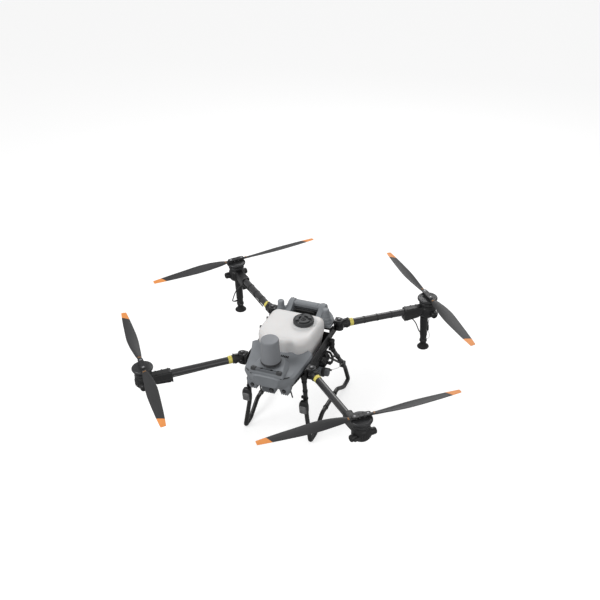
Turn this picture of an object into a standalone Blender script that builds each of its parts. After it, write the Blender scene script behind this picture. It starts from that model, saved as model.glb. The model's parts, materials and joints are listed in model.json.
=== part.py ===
"""Four-rotor agricultural spray drone with folding arms, folding two-blade propellers, a lift-out
spray tank and battery, two rear centrifugal nozzles and tubular landing gear.

Frame: metres, +Z up, the nose faces -Y. The origin is the centre of the belly plate's underside.
Heights below are written above the ground and shifted down by BELLY_Z on the root empty.
"""
import bpy
import bmesh
from math import sin, cos, pi, radians, atan2, hypot
from mathutils import Vector

for o in list(bpy.data.objects):
    bpy.data.objects.remove(o, do_unlink=True)

# ---------------------------------------------------------------- driving dimensions (metres)
BELLY_Z = 0.462                      # height of the belly plate's underside above the ground
MOTOR_X, MOTOR_Y = 0.7025, 0.6575    # motor axes: 1405 x 1315 mm
HINGE_X, HINGE_Y = 0.235, 0.240      # arm fold axes
PROP_R = 0.6125                      # 1225 mm propellers
ROTOR_R = 0.066
PIVOT_R = 0.040                      # blade fold bolts from the rotor axis
BLADE_Z = 0.6425
TUBE_R, TUBE_RI = 0.0225, 0.0200
TUBE_Z = {"front": (0.528, 0.533), "rear": (0.575, 0.545)}   # tube axis height at hinge and motor
GEAR_R = 0.0122
RAIL_X = 0.2052                      # outer face of the side rails
TANK_HX, TANK_Y0, TANK_Y1 = 0.180, -0.172, 0.150
CAP_X, CAP_Y = 0.074, 0.035
RAD_Y = -0.3165                      # rotating radar axis
NOZZLE_Z = 0.232
NOZZLE_IN = 0.020                    # nozzle axis inboard of the motor axis, along the arm
GEAR_FRONT = (0.186, -0.250)         # landing gear sockets
GEAR_REAR = (0.2175, 0.145)
GAP = 0.0004
GEAR_BORE = (GEAR_R + GAP) / cos(pi / 12)   # flats of the faceted bore clear the tube

ARM_LEN = hypot(MOTOR_X - HINGE_X, MOTOR_Y - HINGE_Y)
ARMS = {  # side sign x, side sign y, propeller angle in world degrees, row
    "front_left": (1, -1, 41.0, "front"),
    "front_right": (-1, -1, 132.0, "front"),
    "rear_left": (1, 1, 133.5, "rear"),
    "rear_right": (-1, 1, 48.0, "rear"),
}


# ---------------------------------------------------------------- materials
def material(name, rgb, rough=0.5, metal=0.0):
    m = bpy.data.materials.new(name)
    m.use_nodes = True
    b = m.node_tree.nodes["Principled BSDF"]
    b.inputs["Base Color"].default_value = (*rgb, 1)
    b.inputs["Roughness"].default_value = rough
    b.inputs["Metallic"].default_value = metal
    return m


GREY = material("shell_grey", (0.18, 0.20, 0.22), 0.55)
BLACK = material("frame_black", (0.014, 0.014, 0.015), 0.45)
CARBON = material("carbon", (0.03, 0.03, 0.032), 0.35)
WHITE = material("tank_white", (0.82, 0.81, 0.80), 0.45)
RUBBER = material("rubber", (0.012, 0.012, 0.012), 0.8)
BLADEM = material("blade", (0.035, 0.035, 0.037), 0.5)
METAL = material("metal", (0.45, 0.45, 0.46), 0.35, 1.0)
GLASS = material("lamp_glass", (0.25, 0.25, 0.26), 0.2)
DARK = material("dark_grey", (0.055, 0.057, 0.06), 0.5)

root = bpy.data.objects.new("airframe_origin", None)
bpy.context.scene.collection.objects.link(root)
root.location = (0, 0, -BELLY_Z)


# ---------------------------------------------------------------- modelling helpers
def link(name, me, parent=None, loc=(0, 0, 0), rot=(0, 0, 0)):
    o = bpy.data.objects.new(name, me)
    bpy.context.scene.collection.objects.link(o)
    o.parent = parent if parent is not None else root
    o.location = loc
    o.rotation_euler = rot
    return o


def mesh(name, verts, faces, mat):
    me = bpy.data.meshes.new(name)
    me.from_pydata([tuple(v) for v in verts], [], faces)
    bm = bmesh.new()
    bm.from_mesh(me)
    bmesh.ops.recalc_face_normals(bm, faces=bm.faces)
    bm.to_mesh(me)
    bm.free()
    me.materials.append(mat)
    me.update()
    return me


def smooth(me, angle=35):
    me.shade_smooth()
    me.set_sharp_from_angle(angle=radians(angle))
    return me


def empty(name, loc, rz, parent=None):
    e = bpy.data.objects.new(name, None)
    bpy.context.scene.collection.objects.link(e)
    e.parent = parent if parent is not None else root
    e.location = loc
    e.rotation_euler = (0, 0, rz)
    return e


def loft(name, rings, mat):
    """Rings are equal-length closed loops of points, capped at both ends."""
    n = len(rings[0])
    v, f = [], []
    for r in rings:
        v += list(r)
    for i in range(len(rings) - 1):
        for j in range(n):
            a, b = i * n + j, i * n + (j + 1) % n
            f.append((a, b, b + n, a + n))
    f.append(tuple(reversed(range(n))))
    f.append(tuple((len(rings) - 1) * n + j for j in range(n)))
    return mesh(name, v, f, mat)


def box(name, x0, x1, y0, y1, z0, z1, mat, bevel=0.0):
    x0, x1 = sorted((x0, x1))
    v = [(x, y, z) for z in (z0, z1) for x, y in ((x0, y0), (x1, y0), (x1, y1), (x0, y1))]
    f = [(3, 2, 1, 0), (4, 5, 6, 7), (0, 1, 5, 4), (1, 2, 6, 5), (2, 3, 7, 6), (3, 0, 4, 7)]
    me = mesh(name, v, f, mat)
    if bevel:
        bm = bmesh.new()
        bm.from_mesh(me)
        bmesh.ops.bevel(bm, geom=list(bm.edges), offset=bevel, segments=1, affect="EDGES", profile=0.5)
        bm.to_mesh(me)
        bm.free()
    return me


def revolve(name, profile, mat, n=32, axis="Z"):
    """A closed (r, z) profile turned about the axis; points with r = 0 become poles."""
    v, f, idx = [], [], []
    for r, z in profile:
        if r < 1e-9:
            idx.append([len(v)] * n)
            v.append((0, 0, z))
        else:
            idx.append(list(range(len(v), len(v) + n)))
            v += [(r * cos(2 * pi * k / n), r * sin(2 * pi * k / n), z) for k in range(n)]
    m = len(profile)
    for i in range(m):
        a, b = idx[i], idx[(i + 1) % m]
        if a[0] == a[-1] and b[0] == b[-1]:
            continue
        for k in range(n):
            q = [a[k], a[(k + 1) % n], b[(k + 1) % n], b[k]]
            q = [x for s, x in enumerate(q) if x not in q[:s]]
            if len(q) > 2:
                f.append(tuple(q))
    if axis == "X":
        v = [(z, y, -x) for x, y, z in v]
    if axis == "Y":
        v = [(x, z, -y) for x, y, z in v]
    return smooth(mesh(name, v, f, mat))


def rounded(x0, x1, y0, y1, rf, rr, z, k=4):
    """A rectangle loop at height z with front and rear corner radii and k segments a corner."""
    pts = []
    for cx, cy, r, a0 in ((x1 - rr, y1 - rr, rr, 0), (x0 + rr, y1 - rr, rr, 90), (x0 + rf, y0 + rf, rf, 180), (x1 - rf, y0 + rf, rf, 270)):
        for i in range(k + 1):
            a = radians(a0 + 90 * i / k)
            pts.append((cx + r * cos(a), cy + r * sin(a), z))
    return pts


def fillet_path(points, r, k=3):
    """A polyline with its corners rounded by quadratic blends."""
    pts = [Vector(p) for p in points]
    out = [pts[0]]
    for p0, p1, p2 in zip(pts, pts[1:], pts[2:]):
        a, b = (p0 - p1), (p2 - p1)
        d = min(r, a.length * 0.45, b.length * 0.45)
        s, e = p1 + a.normalized() * d, p1 + b.normalized() * d
        for t in range(k + 1):
            u = t / k
            out.append(s * (1 - u) ** 2 + p1 * 2 * u * (1 - u) + e * u ** 2)
    out.append(pts[-1])
    return out


def sweep(name, path, r, mat, n=12):
    """A round rod along a path, with a frame that does not twist."""
    rings = []
    t = (path[1] - path[0]).normalized()
    up = Vector((0, 0, 1)) if abs(t.z) < 0.9 else Vector((1, 0, 0))
    u = t.cross(up).normalized()
    for i, p in enumerate(path):
        if i == 0:
            d = path[1] - path[0]
        elif i == len(path) - 1:
            d = path[-1] - path[-2]
        else:
            d = (path[i] - path[i - 1]).normalized() + (path[i + 1] - path[i]).normalized()
        d = d.normalized()
        u = (u - d * u.dot(d)).normalized()
        w = d.cross(u)
        rings.append([tuple(p + u * (r * cos(2 * pi * j / n)) + w * (r * sin(2 * pi * j / n))) for j in range(n)])
    return smooth(loft(name, rings, mat), 40)


helpers = [0]


def join(base, me, op="UNION", loc=(0, 0, 0), rot=(0, 0, 0)):
    """Adds or cuts a helper mesh, given in base's own frame."""
    helpers[0] += 1
    h = bpy.data.objects.new(f"helper_{helpers[0]:03d}", me)
    bpy.context.scene.collection.objects.link(h)
    h.parent = base
    h.location = loc
    h.rotation_euler = rot
    h.hide_render = True
    h.display_type = "WIRE"
    m = base.modifiers.new(f"{op.lower()}_{helpers[0]:03d}", "BOOLEAN")
    m.operation = op
    m.object = h
    m.solver = "EXACT"
    return h


# ---------------------------------------------------------------- centre frame
frame = link("centre_frame", box("centre_frame", -0.2040, 0.2040, -0.150, 0.155, BELLY_Z, BELLY_Z + 0.006, BLACK))
join(frame, box("tongue", -0.083, 0.083, -0.330, -0.148, BELLY_Z, BELLY_Z + 0.006, BLACK))
join(frame, box("ears", -0.128, 0.128, -0.305, -0.275, BELLY_Z + 0.0005, BELLY_Z + 0.0055, BLACK))
join(frame, box("bulkhead", -0.2010, 0.2010, 0.1560, 0.1620, BELLY_Z + 0.001, 0.5520, BLACK))
join(frame, box("heel", -0.1500, 0.1500, 0.1500, 0.1600, BELLY_Z + 0.001, BELLY_Z + 0.005, BLACK))
for s in (1, -1):
    join(frame, box("web", s * 0.1988, s * 0.2046, -0.149, 0.154, BELLY_Z + 0.001, 0.510, BLACK))
    join(frame, box("rail", s * 0.1985, s * RAIL_X, -0.268, 0.268, 0.500, 0.556, BLACK))
    for (gx, gy), nm in ((GEAR_FRONT, "f"), (GEAR_REAR, "r")):
        join(frame, revolve("socket_" + nm, [(0.0, 0.470), (0.0165, 0.470), (0.0165, 0.5090), (0.0, 0.5090)], BLACK, 12), loc=(s * gx, gy, 0))
        join(frame, revolve("bore_" + nm, [(0.0, 0.440), (GEAR_BORE, 0.440), (GEAR_BORE, 0.4960), (0.0, 0.4960)], BLACK, 12), "DIFFERENCE", loc=(s * gx, gy, 0))

# arm brackets: a clevis of two plates on a web, bolted to the rail's outer face
PLATE = [(-0.0295, -0.026), (0.0, -0.0265), (0.0135, -0.0225), (0.0235, -0.0120), (0.0265, 0.0), (0.0235, 0.0120), (0.0135, 0.0225), (0.0, 0.0265), (-0.0295, 0.026)]
for k, (sx, sy, ang, fr) in ARMS.items():
    o = link("arm_bracket_" + k, loft("upper", [[(x, y, z) for x, y in PLATE] for z in (0.0300, 0.0360)], BLACK), loc=(sx * HINGE_X, sy * HINGE_Y, TUBE_Z[fr][0]), rot=(0, 0, 0 if sx > 0 else pi))
    join(o, loft("lower", [[(x, y, z) for x, y in PLATE] for z in (-0.0360, -0.0300)], BLACK))
    join(o, box("web", -0.0294, -0.0265, -0.0255, 0.0255, -0.0355, 0.0355, BLACK))
    join(o, revolve("pin_hole", [(0.0, -0.05), (0.0080, -0.05), (0.0080, 0.05), (0.0, 0.05)], BLACK, 16), "DIFFERENCE")


# ---------------------------------------------------------------- arms, motors and propellers
def blade_mesh(name, hand):
    """Along +X from the fold bolt at the origin. hand +1 turns anticlockwise seen from above."""
    L = PROP_R - PIVOT_R
    st = [  # distance from the bolt, chord, chord offset, pitch, thickness
        (-0.0115, 0.022, 0, 0, 0.014), (0.012, 0.024, 0, 0, 0.014), (0.034, 0.029, 0.000, 6, 0.012), (0.058, 0.041, 0.002, 14, 0.010),
        (0.100, 0.054, 0.003, 16.5, 0.0095), (0.160, 0.067, 0.004, 15.5, 0.0085), (0.225, 0.075, 0.003, 13.5, 0.0075), (0.310, 0.071, 0.000, 10.5, 0.006),
        (0.440, 0.056, -0.003, 8, 0.0045), (L - 0.006, 0.034, -0.006, 6, 0.0032), (L, 0.030, -0.006, 6, 0.0022)]
    upper = [(0.5, 0.0), (0.33, 0.48), (0.05, 0.56), (-0.30, 0.32), (-0.5, 0.06)]
    lower = [(-0.5, -0.06), (-0.15, -0.30), (0.25, -0.40)]
    rings = []
    for r, c, off, pitch, th in st:
        p = radians(pitch) * hand
        loop = []
        for q, h in upper + lower:
            q, h = (q * c + off) * hand, h * th
            loop.append((r, q * cos(p) - h * sin(p), q * sin(p) + h * cos(p)))
        rings.append(loop)
    return smooth(loft(name, rings, BLADEM), 50)


BLADE = {1: blade_mesh("blade_ccw", 1), -1: blade_mesh("blade_cw", -1)}
GRIP = [(0.056, 0.0125), (0.050, 0.0165), (0.0, 0.0185), (-0.050, 0.0165), (-0.056, 0.0125), (-0.056, -0.0125), (-0.050, -0.0165), (0.0, -0.0185), (0.050, -0.0165), (0.056, -0.0125)]

for k, (sx, sy, prop_deg, fr) in ARMS.items():
    z0, z1 = TUBE_Z[fr]
    world_ang = atan2(sy * (MOTOR_Y - HINGE_Y), sx * (MOTOR_X - HINGE_X))
    pitch = atan2(z0 - z1, ARM_LEN)
    arm = empty("arm_axis_" + k, (sx * HINGE_X, sy * HINGE_Y, 0), world_ang)
    # knuckle with trunnions turning in the bracket, and the socket that holds the tube
    kn = link("arm_knuckle_" + k, revolve("barrel", [(0.0, -0.0410), (0.0076, -0.0410), (0.0076, -0.0295), (0.0235, -0.0295), (0.0245, -0.0285), (0.0245, 0.0285), (0.0235, 0.0295), (0.0076, 0.0295), (0.0076, 0.0410), (0.0, 0.0410)], BLACK, 16), arm, (0, 0, z0))
    join(kn, revolve("socket", [(0.0, 0.008), (0.0270, 0.008), (0.0270, 0.036), (0.0282, 0.040), (0.0282, 0.092), (0.0265, 0.098), (0.0, 0.098)], BLACK, 16, "X"), rot=(0, pitch, 0))
    join(kn, revolve("socket_bore", [(0.0, 0.046), (TUBE_R + GAP, 0.046), (TUBE_R + GAP, 0.120), (0.0, 0.120)], BLACK, 16, "X"), "DIFFERENCE", rot=(0, pitch, 0))
    # hollow tube
    link("arm_tube_" + k, revolve("tube", [(TUBE_RI, 0.047), (TUBE_R, 0.047), (TUBE_R, ARM_LEN - 0.036), (TUBE_RI, ARM_LEN - 0.036)], CARBON, 16, "X"), arm, (0, 0, z0), (0, pitch, 0))
    # motor mount: round base under the motor, clamp on the tube, side lugs and cooling wedge
    mm = link("motor_mount_" + k, revolve("base", [(0.0, 0.486), (0.040, 0.486), (0.052, 0.494), (0.0555, 0.510), (0.0555, 0.560), (0.050, 0.5785), (0.0, 0.5785)], BLACK, 18), arm, (ARM_LEN, 0, 0))
    join(mm, box("clamp", ARM_LEN - 0.170, ARM_LEN - 0.030, -0.0290, 0.0290, -0.0285, 0.0285, BLACK, 0.006), loc=(-ARM_LEN, 0, z0), rot=(0, pitch, 0))
    wedge = [(-0.172, z1 - 0.050), (-0.150, z1 - 0.050), (-0.060, z1 - 0.042), (-0.037, z1 - 0.030), (-0.037, z1 - 0.010), (-0.165, z1 - 0.010)]
    join(mm, loft("wedge", [[(x, yy, z) for x, z in wedge] for yy in (0.0235, -0.0235)], BLACK))
    for s in (1, -1):
        join(mm, revolve("lug", [(0.0, 0.040), (0.021, 0.040), (0.021, 0.076), (0.016, 0.083), (0.0, 0.083)], BLACK, 10, "Y"), loc=(0.018, 0, 0.524), rot=(0, 0, 0 if s > 0 else pi))
    join(mm, revolve("bore", [(0.0, ARM_LEN - 0.25), (TUBE_R + GAP, ARM_LEN - 0.25), (TUBE_R + GAP, ARM_LEN - 0.0352), (0.0, ARM_LEN - 0.0352)], BLACK, 16, "X"), "DIFFERENCE", loc=(-ARM_LEN, 0, z0), rot=(0, pitch, 0))
    # rotor: bell, disc, the two grip plates and the blade bolts between them
    rot = empty("rotor_axis_" + k, (ARM_LEN, 0, 0), radians(prop_deg) - world_ang, arm)
    rb = link("rotor_bell_" + k, revolve("bell", [(0.0, 0.5800), (0.0500, 0.5800), (0.0530, 0.5840), (0.0530, 0.5960), (0.0480, 0.6010), (0.0480, 0.6060), (0.0600, 0.6120), (ROTOR_R, 0.6190), (ROTOR_R, 0.6240), (0.0600, 0.6285), (0.030, 0.6310), (0.0, 0.6310)], BLACK, 20), rot)
    join(rb, loft("lower_grip", [[(x, y, z) for x, y in GRIP] for z in (0.6240, 0.6340)], BLACK))
    join(rb, box("grip_core", -0.022, 0.022, -0.012, 0.012, 0.630, 0.654, BLACK))
    for s in (1, -1):
        join(rb, revolve("bolt", [(0.0, 0.630), (0.0036, 0.630), (0.0036, 0.654), (0.0, 0.654)], BLACK, 8), loc=(s * PIVOT_R, 0, 0))
    join(rb, loft("upper_grip", [[(x, y, z) for x, y in GRIP] for z in (0.6512, 0.6560)], BLACK))
    hand = 1 if sx * sy > 0 else -1
    for nm, a in (("a", 0.0), ("b", pi)):
        e = empty(f"blade_bolt_{k}_{nm}", (PIVOT_R * cos(a), PIVOT_R * sin(a), BLADE_Z), a, rot)
        bl = link(f"blade_{k}_{nm}", BLADE[hand], e)
        join(bl, revolve("bolt_hole", [(0.0, -0.03), (0.0042, -0.03), (0.0042, 0.03), (0.0, 0.03)], BLADEM, 8), "DIFFERENCE")
    # centrifugal nozzle under each rear motor
    if fr == "rear":
        st = link("nozzle_stem_" + k, revolve("stem", [(0.0, 0.276), (0.019, 0.276), (0.0245, 0.282), (0.0245, 0.298), (0.0190, 0.306), (0.0180, 0.330), (0.0205, 0.345), (0.0205, 0.440), (0.0165, 0.460), (0.0165, 0.4856), (0.0, 0.4856)], BLACK, 14), arm, (ARM_LEN - NOZZLE_IN, 0, 0))
        join(st, revolve("inlet", [(0.0, 0.0), (0.0065, 0.0), (0.0065, 0.034), (0.0045, 0.044), (0.0, 0.044)], BLACK, 8, "Y"), loc=(0, 0, 0.318))
        link("nozzle_disc_" + k, revolve("disc", [(0.0, NOZZLE_Z), (0.0330, NOZZLE_Z), (0.0400, NOZZLE_Z + 0.004), (0.0400, NOZZLE_Z + 0.008), (0.0330, NOZZLE_Z + 0.012), (0.0230, NOZZLE_Z + 0.024), (0.0200, NOZZLE_Z + 0.0430), (0.0, NOZZLE_Z + 0.0430)], RUBBER, 18), arm, (ARM_LEN - NOZZLE_IN, 0, 0))


# ---------------------------------------------------------------- spray tank and lid
def tank_rings(inset):
    out = []
    i = inset
    for z, hx, y0, y1, rf, rr in (
            (0.470, 0.140, -0.125, 0.110, 0.040, 0.030), (0.484, 0.158, -0.146, 0.128, 0.055, 0.036), (0.520, 0.1660, -0.160, 0.140, 0.070, 0.038),
            (0.560, 0.1700, TANK_Y0 + 0.004, 0.1475, 0.080, 0.040), (0.600, TANK_HX, TANK_Y0, TANK_Y1, 0.090, 0.044), (0.645, TANK_HX, TANK_Y0, TANK_Y1, 0.090, 0.044),
            (0.668, TANK_HX - 0.006, TANK_Y0 + 0.006, TANK_Y1 - 0.004, 0.086, 0.044), (0.682, TANK_HX - 0.022, TANK_Y0 + 0.020, TANK_Y1 - 0.014, 0.076, 0.036), (0.686, TANK_HX - 0.040, TANK_Y0 + 0.042, TANK_Y1 - 0.030, 0.060, 0.028)):
        zz = z + (i if z < 0.475 else 0) - (i if z > 0.68 else 0) - (i * 0.5 if 0.66 < z < 0.68 else 0)
        out.append(rounded(-hx + i, hx - i, y0 + i, y1 - i, max(rf - i, 0.01), max(rr - i, 0.01), zz, 3))
    return out


tank = link("spray_tank", smooth(loft("spray_tank", tank_rings(0.0), WHITE), 50))
join(tank, revolve("collar", [(0.0, 0.670), (0.0580, 0.670), (0.0560, 0.700), (0.0, 0.700)], WHITE, 20), loc=(CAP_X, CAP_Y, 0))
join(tank, loft("cavity", tank_rings(0.004), WHITE), "DIFFERENCE")
join(tank, revolve("mouth", [(0.0, 0.660), (0.0460, 0.660), (0.0460, 0.720), (0.0, 0.720)], WHITE, 20), "DIFFERENCE", loc=(CAP_X, CAP_Y, 0))
cap = link("tank_lid", revolve("tank_lid", [(0.0, 0.690), (0.0430, 0.690), (0.0430, 0.7005), (0.0590, 0.7005), (0.0620, 0.704), (0.0620, 0.7180), (0.0590, 0.7225), (0.0, 0.7225)], DARK, 24), loc=(CAP_X, CAP_Y, 0))
join(cap, box("lid_grip", -0.044, 0.044, -0.006, 0.006, 0.720, 0.7290, DARK))

# ---------------------------------------------------------------- front shell, open underneath
HEAD = [  # y, then half-section points from the bottom edge to the crown
    (-0.412, [(0.068, 0.482), (0.078, 0.502), (0.081, 0.526), (0.072, 0.547), (0.062, 0.556), (0.050, 0.560), (0.0, 0.561)]),
    (-0.383, [(0.098, 0.460), (0.110, 0.482), (0.112, 0.512), (0.100, 0.540), (0.082, 0.560), (0.070, 0.574), (0.0, 0.576)]),
    (-0.345, [(0.118, 0.453), (0.130, 0.478), (0.133, 0.515), (0.118, 0.548), (0.092, 0.566), (0.076, 0.598), (0.0, 0.600)]),
    (-0.300, [(0.134, 0.452), (0.148, 0.478), (0.151, 0.518), (0.135, 0.553), (0.098, 0.570), (0.078, 0.6045), (0.0, 0.606)]),
    (-0.250, [(0.148, 0.458), (0.162, 0.482), (0.165, 0.524), (0.152, 0.562), (0.100, 0.574), (0.072, 0.6035), (0.0, 0.605)]),
    (-0.215, [(0.158, 0.474), (0.172, 0.492), (0.177, 0.532), (0.166, 0.572), (0.104, 0.578), (0.070, 0.584), (0.0, 0.586)]),
    (-0.180, [(0.168, 0.504), (0.182, 0.516), (0.188, 0.545), (0.180, 0.584), (0.120, 0.582), (0.070, 0.577), (0.0, 0.576)]),
    (-0.122, [(0.184, 0.525), (0.192, 0.532), (0.196, 0.552), (0.193, 0.575), (0.150, 0.582), (0.070, 0.582), (0.0, 0.582)]),
]
v, f = [], []
n = len(HEAD[0][1]) * 2 - 1
for y, half in HEAD:
    v += [(x, y, z) for x, z in half] + [(-x, y, z) for x, z in reversed(half[:-1])]
for i in range(len(HEAD) - 1):
    for j in range(n - 1):
        a = i * n + j
        f.append((a, a + n, a + 1 + n, a + 1))
f.append(tuple(range(n)))
me = bpy.data.meshes.new("front_shell")
me.from_pydata(v, [], f)
bm = bmesh.new()
bm.from_mesh(me)
bmesh.ops.recalc_face_normals(bm, faces=bm.faces)
bm.faces.ensure_lookup_table()
crown = max(bm.faces, key=lambda q: q.calc_center_median().z)
if crown.normal.z < 0:
    bmesh.ops.reverse_faces(bm, faces=bm.faces)
bm.to_mesh(me)
bm.free()
me.materials.append(GREY)
head = link("front_shell", me)
sol = head.modifiers.new("wall", "SOLIDIFY")
sol.thickness = 0.003
sol.offset = -1.0
join(head, loft("tank_clear", tank_rings(-0.002), GREY), "DIFFERENCE")

# chin: two lamp lobes; the forward sensing pod hangs under it
chin = link("chin_pan", box("chin_pan", -0.085, 0.085, -0.370, -0.2000, 0.4530, 0.4616, GREY))
for s in (1, -1):
    lobe = [(0.4495, 0.034, 0.0360), (0.4200, 0.032, 0.0340), (0.3980, 0.022, 0.0220)]
    join(chin, loft("lobe", [rounded(s * 0.106 - hx, s * 0.106 + hx, -0.336 - hy, -0.336 + hy, 0.010, 0.010, z, 2) for z, hx, hy in lobe], GREY))
    join(chin, box("lobe_neck", s * 0.055, s * 0.084, -0.360, -0.312, 0.4400, 0.4580, GREY))
pod = [rounded(-0.050, 0.050, -0.378, -0.296, 0.014, 0.014, 0.4526, 2), rounded(-0.046, 0.046, -0.376, -0.298, 0.014, 0.014, 0.414, 2), rounded(-0.036, 0.036, -0.366, -0.306, 0.012, 0.012, 0.390, 2)]
link("forward_radar_pod", loft("forward_radar_pod", pod, GREY))
link("nose_sensor_bar", box("nose_sensor_bar", -0.080, 0.080, -0.4080, -0.3840, 0.5775, 0.5940, DARK, 0.004))
# rotating radar: fixed base and radome, turning antenna inside
link("radar_base", revolve("radar_base", [(0.0, 0.6075), (0.0640, 0.6075), (0.0640, 0.6190), (0.0620, 0.6210), (0.0, 0.6210)], DARK, 24), loc=(0, RAD_Y, 0))
link("radar_radome", revolve("radar_radome", [(0.0580, 0.6214), (0.0608, 0.6214), (0.0606, 0.6240), (0.0560, 0.7610), (0.0535, 0.7700), (0.0500, 0.7730), (0.0, 0.7735), (0.0, 0.7700), (0.0490, 0.7695), (0.0530, 0.7600)], GREY, 24), loc=(0, RAD_Y, 0))
ra = link("radar_antenna", revolve("radar_antenna", [(0.0, 0.6220), (0.018, 0.6220), (0.018, 0.6320), (0.0, 0.6320)], METAL, 16), loc=(0, RAD_Y, 0))
join(ra, box("panel", -0.038, 0.038, -0.008, 0.008, 0.6300, 0.7500, METAL))

# ---------------------------------------------------------------- rear shell round the battery bay
deck = [(-0.186, 0.1660), (0.186, 0.1660), (0.190, 0.180), (0.190, 0.268), (0.150, 0.318), (0.120, 0.332), (-0.120, 0.332), (-0.150, 0.318), (-0.190, 0.268), (-0.190, 0.180)]
rear = link("rear_shell", loft("rear_shell", [[(x, y, z) for x, y in deck] for z in (0.566, 0.604)] + [[(x * 0.93, 0.169 + (y - 0.166) * 0.93, 0.6200) for x, y in deck]], GREY))
for s in (1, -1):
    arch = [(0.172, 0.605), (0.172, 0.626), (0.215, 0.640), (0.258, 0.664), (0.290, 0.672), (0.312, 0.664), (0.320, 0.605)]
    join(rear, loft("shoulder", [[(xx, y, z) for y, z in arch] for xx in sorted((s * 0.090, s * 0.1285))], GREY))
bar = [(0.2880, 0.6280), (0.2880, 0.6560), (0.2940, 0.6640), (0.3080, 0.6620), (0.3140, 0.6540), (0.3140, 0.6280)]
join(rear, loft("bar", [[(xx, y, z) for y, z in bar] for xx in (-0.100, 0.100)], GREY))
join(rear, box("under", -0.180, 0.180, 0.170, 0.262, 0.550, 0.600, GREY), "DIFFERENCE")
join(rear, box("bay", -0.0865, 0.0865, 0.1740, 0.2860, 0.540, 0.760, GREY), "DIFFERENCE")
batt = link("battery", box("battery", -0.0820, 0.0820, 0.1780, 0.2820, 0.3900, 0.6080, DARK, 0.004))
for s in (1, -1):
    join(batt, box("post", s * 0.060, s * 0.072, 0.222, 0.238, 0.600, 0.638, DARK))
join(batt, box("handle", -0.074, 0.074, 0.221, 0.239, 0.630, 0.642, DARK))
tray = link("battery_tray", box("battery_tray", -0.0900, 0.0900, 0.1700, 0.2900, 0.3790, 0.3895, BLACK))
for s in (1, -1):
    join(tray, box("cheek", s * 0.0840, s * 0.0898, 0.1702, 0.2898, 0.3800, 0.5300, BLACK))
join(tray, box("hook", -0.0896, 0.0896, 0.1624, 0.1740, 0.4700, 0.5300, BLACK))

for s, nm in ((1, "left"), (-1, "right")):
    link("gnss_antenna_" + nm, revolve("gnss", [(0.0, 0.6204), (0.0270, 0.6204), (0.0265, 0.6480), (0.0235, 0.6560), (0.0190, 0.6600), (0.0170, 0.6900), (0.0130, 0.6960), (0.0, 0.6970)], GREY, 16), loc=(s * 0.157, 0.208, 0))
    link("whip_antenna_" + nm, revolve("whip", [(0.0, 0.300), (0.0042, 0.300), (0.0048, 0.372), (0.0048, 0.4526), (0.0, 0.4526)], RUBBER, 8), loc=(s * 0.074, -0.262, 0))
    # landing gear: one bent tube a side, both ends socketed in the frame
    fx, fy = GEAR_FRONT
    rx, ry = GEAR_REAR
    pts = [(fx, fy, 0.4955), (fx, fy, 0.4440), (0.1910, -0.254, 0.3900), (0.1980, -0.262, 0.2000), (0.2270, -0.288, GEAR_R), (0.2290, -0.205, GEAR_R), (0.2310, -0.083, 0.086),
           (0.2330, 0.187, 0.082), (0.2350, 0.305, GEAR_R), (0.2330, 0.402, GEAR_R), (0.2300, 0.345, 0.155), (rx, ry, 0.4440), (rx, ry, 0.4955)]
    link("landing_gear_" + nm, sweep("landing_gear_" + nm, fillet_path([(s * x, y, z) for x, y, z in pts], 0.032, 2), GEAR_R, BLACK, 10))
    link("spotlight_" + nm, box("spotlight_" + nm, -0.0240, 0.0240, -0.0300, 0.0, -0.0400, 0.0400, GLASS, 0.006), loc=(s * 0.1950, -0.2732, 0.283))
    # impeller pump and its motor under the belly plate
    pm = link("pump_" + nm, revolve("pump", [(0.0, -0.046), (0.026, -0.046), (0.028, -0.043), (0.028, 0.004), (0.034, 0.006), (0.034, 0.030), (0.030, 0.034), (0.0, 0.034)], BLACK, 16, "X"), loc=(s * 0.150, 0.020, 0.4120), rot=(0, 0, 0 if s > 0 else pi))
    join(pm, revolve("outlet", [(0.0, 0.0), (0.0075, 0.0), (0.0075, 0.048), (0.0, 0.048)], BLACK, 8, "Y"), loc=(0.018, 0, 0), rot=(0, 0, 0 if s > 0 else pi))
    join(pm, box("foot", -0.036, 0.000, -0.016, 0.016, 0.018, 0.0496, BLACK))
link("rear_radar", box("rear_radar", -0.055, 0.055, 0.3324, 0.3560, 0.5400, 0.6000, DARK, 0.005))
link("flow_meter", box("flow_meter", -0.030, 0.030, 0.060, 0.110, 0.4200, 0.4616, DARK, 0.003))
link("avionics_box", box("avionics_box", -0.080, 0.080, -0.290, -0.1900, 0.4685, 0.5300, DARK, 0.004))
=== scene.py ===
"""Looks for the four-rotor spray drone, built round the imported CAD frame."""
import bpy
import bmesh
import json
from math import sin, cos, pi, radians, atan2, hypot, sqrt
from mathutils import Vector, Matrix

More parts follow.
